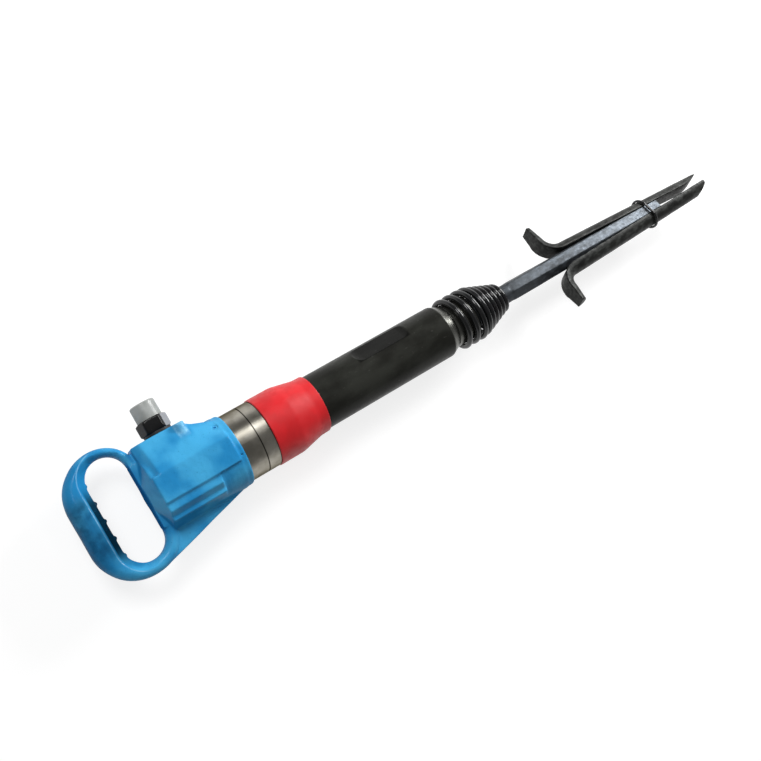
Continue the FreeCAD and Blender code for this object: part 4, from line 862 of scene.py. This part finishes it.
def retaining_spring():
    """The conical spring on the nose, one unbroken wire, and the thread ridge that it winds on."""
    first = round(SPRING_FIRST_TURN * STEPS_PER_TURN)
    last = round(SPRING_LAST_TURN * STEPS_PER_TURN)
    points = [retaining_centre(i / STEPS_PER_TURN) for i in range(first, last + 1)]
    mesh = wire_mesh(points, RETAINING_WIRE, spring_black, 24)
    new_piece("retaining_spring_wire", mesh, spring_black, "pick", "spring_steel", "retaining_spring")
    radius = NOSE_RADIUS - THREAD_RIDGE_SUNK
    ridge = []
    for i in range(THREAD_RIDGE_TURNS * STEPS_PER_TURN):
        turn = THREAD_RIDGE_FIRST_TURN + i / STEPS_PER_TURN
        angle = math.tau * turn
        point = spot(0.0, radius * math.cos(angle), radius * math.sin(angle))
        # The ridge runs midway between two turns of the spring
        point.x = retaining_centre(turn + 0.5).x
        ridge.append(point)
    mesh = wire_mesh(ridge, THREAD_RIDGE_RADIUS, barrel_black, 16)
    new_piece("nose_thread", mesh, barrel_black, "pick", "black_phosphated_steel")


def plain_spring(name, node, body, joint, anchor_x, first, last, radius, wire, turns):
    """A cylindrical spring between two faces."""
    start, end = first + SEAT_GAP + wire, last - SEAT_GAP - wire
    points = []
    for i in range(int(turns * STEPS_PER_TURN) + 1):
        share = i / (turns * STEPS_PER_TURN)
        angle = math.tau * turns * share
        x = start + (end - start) * share
        points.append(spot(x, radius * math.cos(angle), radius * math.sin(angle)))
    mesh = wire_mesh(points, wire, spring_black, 16)
    piece = new_piece(name, mesh, spring_black, body, "spring_steel", node)
    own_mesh(piece)


def wedge_half_thickness(x):
    """Half the wedge's thickness at a station."""
    full = 2 * HEX_APOTHEM / math.sqrt(3)
    share = max(0.0, x - WEDGE_START) / (WEDGE_TIP - WEDGE_START)
    return full + (WEDGE_TIP_THICKNESS / 2 - full) * share


def blunt_least(*limits):
    """The least of several limits, with the corners between them rounded off."""
    return sum(np.maximum(limit, LEAST) ** -BLUNTNESS for limit in limits) ** (-1 / BLUNTNESS)


def hexagon_sides(angles, apothem, turn):
    """How far out each side of a hexagon lies at the angles, with a corner at turn."""
    middles = [turn + math.radians(30 + 60 * k) for k in range(6)]
    return [apothem / np.maximum(np.cos(angles - middle), LEAST) for middle in middles]


def wedge_bar():
    """Shank, collar and neck, then hexagonal steel that tapers to a wedge, with forged softness."""
    angles = even_angles(144)
    outline = [
        (SHANK_REAR, 0.0),
        (SHANK_REAR, SHANK_RADIUS - SHANK_EDGE),
        (SHANK_REAR + SHANK_EDGE, SHANK_RADIUS),
        (COLLAR_REAR, SHANK_RADIUS),
        (COLLAR_REAR, COLLAR_RADIUS - COLLAR_EDGE),
        (COLLAR_REAR + COLLAR_EDGE / 3, COLLAR_RADIUS - COLLAR_EDGE / 3),
        (COLLAR_REAR + COLLAR_EDGE, COLLAR_RADIUS),
        (COLLAR_FRONT - COLLAR_FRONT_EDGE, COLLAR_RADIUS),
        (COLLAR_FRONT - 1.0, COLLAR_RADIUS - 0.9),
    ]
    drop = COLLAR_RADIUS - COLLAR_FRONT_EDGE - NECK_RADIUS
    for share in np.linspace(0.0, 1.0, 17):
        x = COLLAR_FRONT + (COLLAR_CONE_FRONT - COLLAR_FRONT) * share
        outline.append((x, NECK_RADIUS + drop * (1 - share) ** COLLAR_CONE_HOLLOW))
    rings = [[(x, r * math.cos(t), r * math.sin(t)) for t in angles] for x, r in outline]
    roll = math.radians(TOOL_ROLL)
    hexagon = blunt_least(*hexagon_sides(angles, HEX_APOTHEM, roll))
    for x in np.linspace(COLLAR_CONE_FRONT + 2.0, WEDGE_TIP, 150):
        if x < NECK_FRONT:
            radii = np.full(len(angles), NECK_RADIUS)
        else:
            limits = [hexagon, np.full(len(angles), NECK_RADIUS + (x - NECK_FRONT) / 2)]
            if x > WEDGE_START:
                across = np.maximum(np.abs(np.cos(angles - roll)), LEAST)
                limits.append(wedge_half_thickness(x) / across)
            radii = blunt_least(*limits)
        rings.append([(x, r * math.cos(t), r * math.sin(t)) for r, t in zip(radii, angles)])
    tip = np.array(rings[-1])
    for share, back in ((0.97, 0.25 * WEDGE_TIP_EDGE), (0.9, 0.0), (0.0, 0.0)):
        ring = tip * (1.0, share, share)
        ring[:, 0] = WEDGE_TIP - back
        rings.append(ring)
    rings = np.array([np.array(ring) for ring in rings])
    wavy = uneven(rings.reshape(-1, 3), *WEDGE_WAVE).reshape(rings.shape)
    rings = np.where(rings[:, :, :1] > COLLAR_CONE_FRONT, wavy, rings)
    mesh = shell(rings, loop=False)
    new_piece("wedge_bar", mesh, tool_steel, "tool", "forged_steel", "splitting_wedge")


def feathers():
    """The two half-round bars with their ears, edges softened by forging."""
    for name in ("feather_upper", "feather_lower"):
        skin = voxel_skin(name, FEATHER_VOXEL)
        points, edges = net_arrays(skin)
        points = rounded(points, edges, *POLISH)
        set_points(skin, uneven(points, *FEATHER_WAVE))
        new_piece(name + "_bar", skin, feather_steel, name, "forged_steel", name)


def feather_ring():
    """The sprung ring round both feathers, a little askew."""
    x = WEDGE_TIP - HOOP_FROM_WEDGE_TIP
    lean = math.cos(math.radians(HOOP_TILT))
    margin = HOOP_GAP + HOOP_WIRE
    radius = FEATHER_RADIUS / lean + margin
    straight = (wedge_half_thickness(x) + FEATHER_GAP + FEATHER_RADIUS) / lean + margin - radius
    tilt = Matrix.Rotation(math.radians(HOOP_TILT), 3, "Z")
    turn = Matrix.Rotation(math.radians(TOOL_ROLL), 3, "X") @ tilt
    points = []
    for angle in even_angles(HOOP_STEPS):
        y = radius * math.cos(angle) + (straight if math.cos(angle) >= 0 else -straight)
        place = turn @ Vector((0.0, y, radius * math.sin(angle)))
        points.append(spot(*(place + Vector((x, 0, 0)))))
    mesh = wire_mesh(points, HOOP_WIRE, spring_black, 16, True)
    piece = new_piece("feather_ring_wire", mesh, spring_black, None, "spring_steel", "feather_ring")
    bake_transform(piece)


def hexagon_ring(y, r, angles):
    """The nipple's hexagon with its two chamfers, and round above and below it."""
    if r < NUT_APOTHEM:
        return np.full(len(angles), r)
    sides = hexagon_sides(angles, NUT_APOTHEM, math.radians(NUT_TURN))
    rim = 2 * NUT_APOTHEM / math.sqrt(3) - NUT_CHAMFER
    chamfer = rim + NUT_CHAMFER_SLOPE * min(y - NUT_Y, NUT_TOP_Y - y)
    return blunt_least(*sides, np.full(len(angles), chamfer))


def inlet_pieces():
    """Hexagon nipple with its threaded spout, washer and dust cap."""
    outline = [(THREAD_END_Y, INLET_BORE), (THREAD_END_Y, SPOUT_RADIUS)]
    outline += [(NUT_Y, SPOUT_RADIUS), (NUT_Y, NUT_APOTHEM - 0.5)]
    # Wider than the hexagon's corners, so that hexagon_ring sets these
    wide = NUT_APOTHEM + 3.0
    outline += [(NUT_Y + step, wide) for step in NUT_STEPS]
    outline += [(NUT_TOP_Y - step, wide) for step in reversed(NUT_STEPS)]
    outline += [(NUT_TOP_Y, NUT_APOTHEM - 0.5), (NUT_TOP_Y, SPOUT_RADIUS)]
    y = NUT_TOP_Y + 1.0
    while y < SPOUT_Y - SPOUT_THREAD_PITCH:
        outline.append((y, SPOUT_RADIUS))
        outline.append((y + SPOUT_THREAD_PITCH / 2, SPOUT_RADIUS - SPOUT_THREAD_DEPTH))
        y += SPOUT_THREAD_PITCH
    outline += [(SPOUT_Y - SPOUT_EDGE, SPOUT_RADIUS), (SPOUT_Y, SPOUT_RADIUS - SPOUT_EDGE)]
    outline.append((SPOUT_Y, INLET_BORE))
    mesh = about_inlet(outline, 180, hexagon_ring)
    new_piece("nipple_hexagon", mesh, nut_black, "handle", "black_phosphated_steel", "inlet_nipple")
    washer = filleted([
        (BOSS_FACE_Y, SPOUT_RADIUS + 0.05, 0.0),
        (BOSS_FACE_Y, SEAL_RADIUS, 0.7),
        (NUT_Y, SEAL_RADIUS, 0.7),
        (NUT_Y, SPOUT_RADIUS + 0.05, 0.0),
    ])
    new_piece("inlet_washer", about_inlet(washer), seal_black, "handle", "sealing_rubber", "inlet_seal")
    cap = filleted([
        (CAP_Y, CAP_BORE, 0.4),
        (CAP_Y, CAP_RADIUS, 0.5),
        (CAP_TOP_Y, CAP_RADIUS - 0.25, 2.2),
        (CAP_TOP_Y, 0.02, 0.0),
        (SPOUT_Y + SEAT_GAP, 0.02, 0.0),
        (SPOUT_Y + SEAT_GAP, CAP_BORE, 0.4),
    ])
    new_piece("dust_cap", about_inlet(cap), cap_grey, "inlet_cap", "grey_plastic", "inlet_cap")


def lamp(name, way, distance, width, height, level):
    """A soft lamp that lights a surface square to it at level times its written colour."""
    light = bpy.data.lights.new(name, "AREA")
    light.shape = "RECTANGLE"
    light.size = width
    light.size_y = height
    light.energy = level * math.pi ** 2 * distance ** 2
    holder = bpy.data.objects.new(name, light)
    bpy.context.scene.collection.objects.link(holder)
    holder.location = spot(AXIS_POINT) + Vector(way).normalized() * distance
    holder.rotation_mode = "QUATERNION"
    holder.rotation_quaternion = (-Vector(way)).to_track_quat("-Z", "Y")


def seen(tree):
    """One for a ray from the camera, a reflection or glass, else nothing."""
    path = add(tree, "ShaderNodeLightPath", (), None)
    rays = (path["Is Glossy Ray"], path["Is Transmission Ray"])
    beyond = add(tree, "ShaderNodeMath", rays, operation="MAXIMUM")
    return add(tree, "ShaderNodeMath", (path["Is Camera Ray"], beyond), operation="MAXIMUM")


def pale_floor():
    """A floor that is near white where it is seen, with the object's shadow, and lights it as grey."""
    bpy.ops.mesh.primitive_plane_add(size=FLOOR_SIZE)
    floor = bpy.context.object
    floor.name = "floor"
    made = bpy.data.materials.new("pale_floor")
    made.use_nodes = True
    tree = made.node_tree
    tree.nodes.clear()
    matt = add(tree, "ShaderNodeBsdfDiffuse", {"Color": (0.4, 0.4, 0.4, 1.0)})
    faint = add(tree, "ShaderNodeBsdfDiffuse", {"Color": (0.32, 0.32, 0.32, 1.0)})
    glow = add(tree, "ShaderNodeEmission", {"Strength": 0.8})
    lit = add(tree, "ShaderNodeAddShader", (faint, glow))
    mixed = add(tree, "ShaderNodeMixShader", (seen(tree), matt, lit))
    add(tree, "ShaderNodeOutputMaterial", {"Surface": mixed}, None)
    floor.data.materials.append(made)


def pale_surround():
    """Soft grey light from all round, with a white horizon where it is seen."""
    world = bpy.data.worlds.new("surround")
    bpy.context.scene.world = world
    world.use_nodes = True
    tree = world.node_tree
    tree.nodes.clear()
    up = add(tree, "ShaderNodeTexCoord", (), "Generated")
    height = add(tree, "ShaderNodeSeparateXYZ", (up,), 2)
    light = add(tree, "ShaderNodeMapRange", (height, 0.1, 0.5, 0.42, 0.26), **SMOOTH)
    # The background's own colour is grey, so 1.08 is what makes its horizon match the floor
    white = add(tree, "ShaderNodeMapRange", (height, 0.06, 0.3, 1.08, 0.0), **SMOOTH)
    horizon = add(tree, "ShaderNodeMath", (seen(tree), white), operation="MULTIPLY")
    strength = add(tree, "ShaderNodeMath", (light, horizon), operation="MAXIMUM")
    back = add(tree, "ShaderNodeBackground", {"Strength": strength})
    add(tree, "ShaderNodeOutputWorld", {"Surface": back}, None)


def camera():
    """The photograph's view."""
    lens = bpy.data.cameras.new("camera")
    lens.lens = LENS
    lens.sensor_width = SENSOR
    holder = bpy.data.objects.new("camera", lens)
    bpy.context.scene.collection.objects.link(holder)
    holder.location = spot(AXIS_POINT) + Vector(CAMERA_FROM_AXIS_POINT) * MM
    tilt = math.radians(CAMERA_TILT)
    forward = Vector((math.cos(tilt), 0.0, -math.sin(tilt)))
    level = Vector((math.sin(tilt), 0.0, math.cos(tilt)))
    side = Vector((0.0, 1.0, 0.0))
    roll = math.radians(CAMERA_ROLL)
    right = level * math.cos(roll) - side * math.sin(roll)
    up = level * math.sin(roll) + side * math.cos(roll)
    holder.rotation_mode = "QUATERNION"
    holder.rotation_quaternion = Matrix((right, up, -forward)).transposed().to_quaternion()
    bpy.context.scene.camera = holder


dress_nodes()
handle_casting()
cylinder_pieces()
exhaust_moulding()
retaining_spring()
plain_spring(
    "handle_spring_wire", "handle_spring", "pick", "handle_press", SLEEVE_REAR, *HANDLE_COIL)
plain_spring(
    "throttle_spring_wire", "throttle_spring", "handle", "throttle_open",
    THROTTLE_COIL[0], *THROTTLE_COIL)
wedge_bar()
feathers()
feather_ring()
inlet_pieces()
pale_floor()
pale_surround()
for lamp_name, lamp_settings in LAMPS.items():
    lamp(lamp_name, *lamp_settings)
camera()
bpy.context.scene.view_settings.view_transform = "Standard"
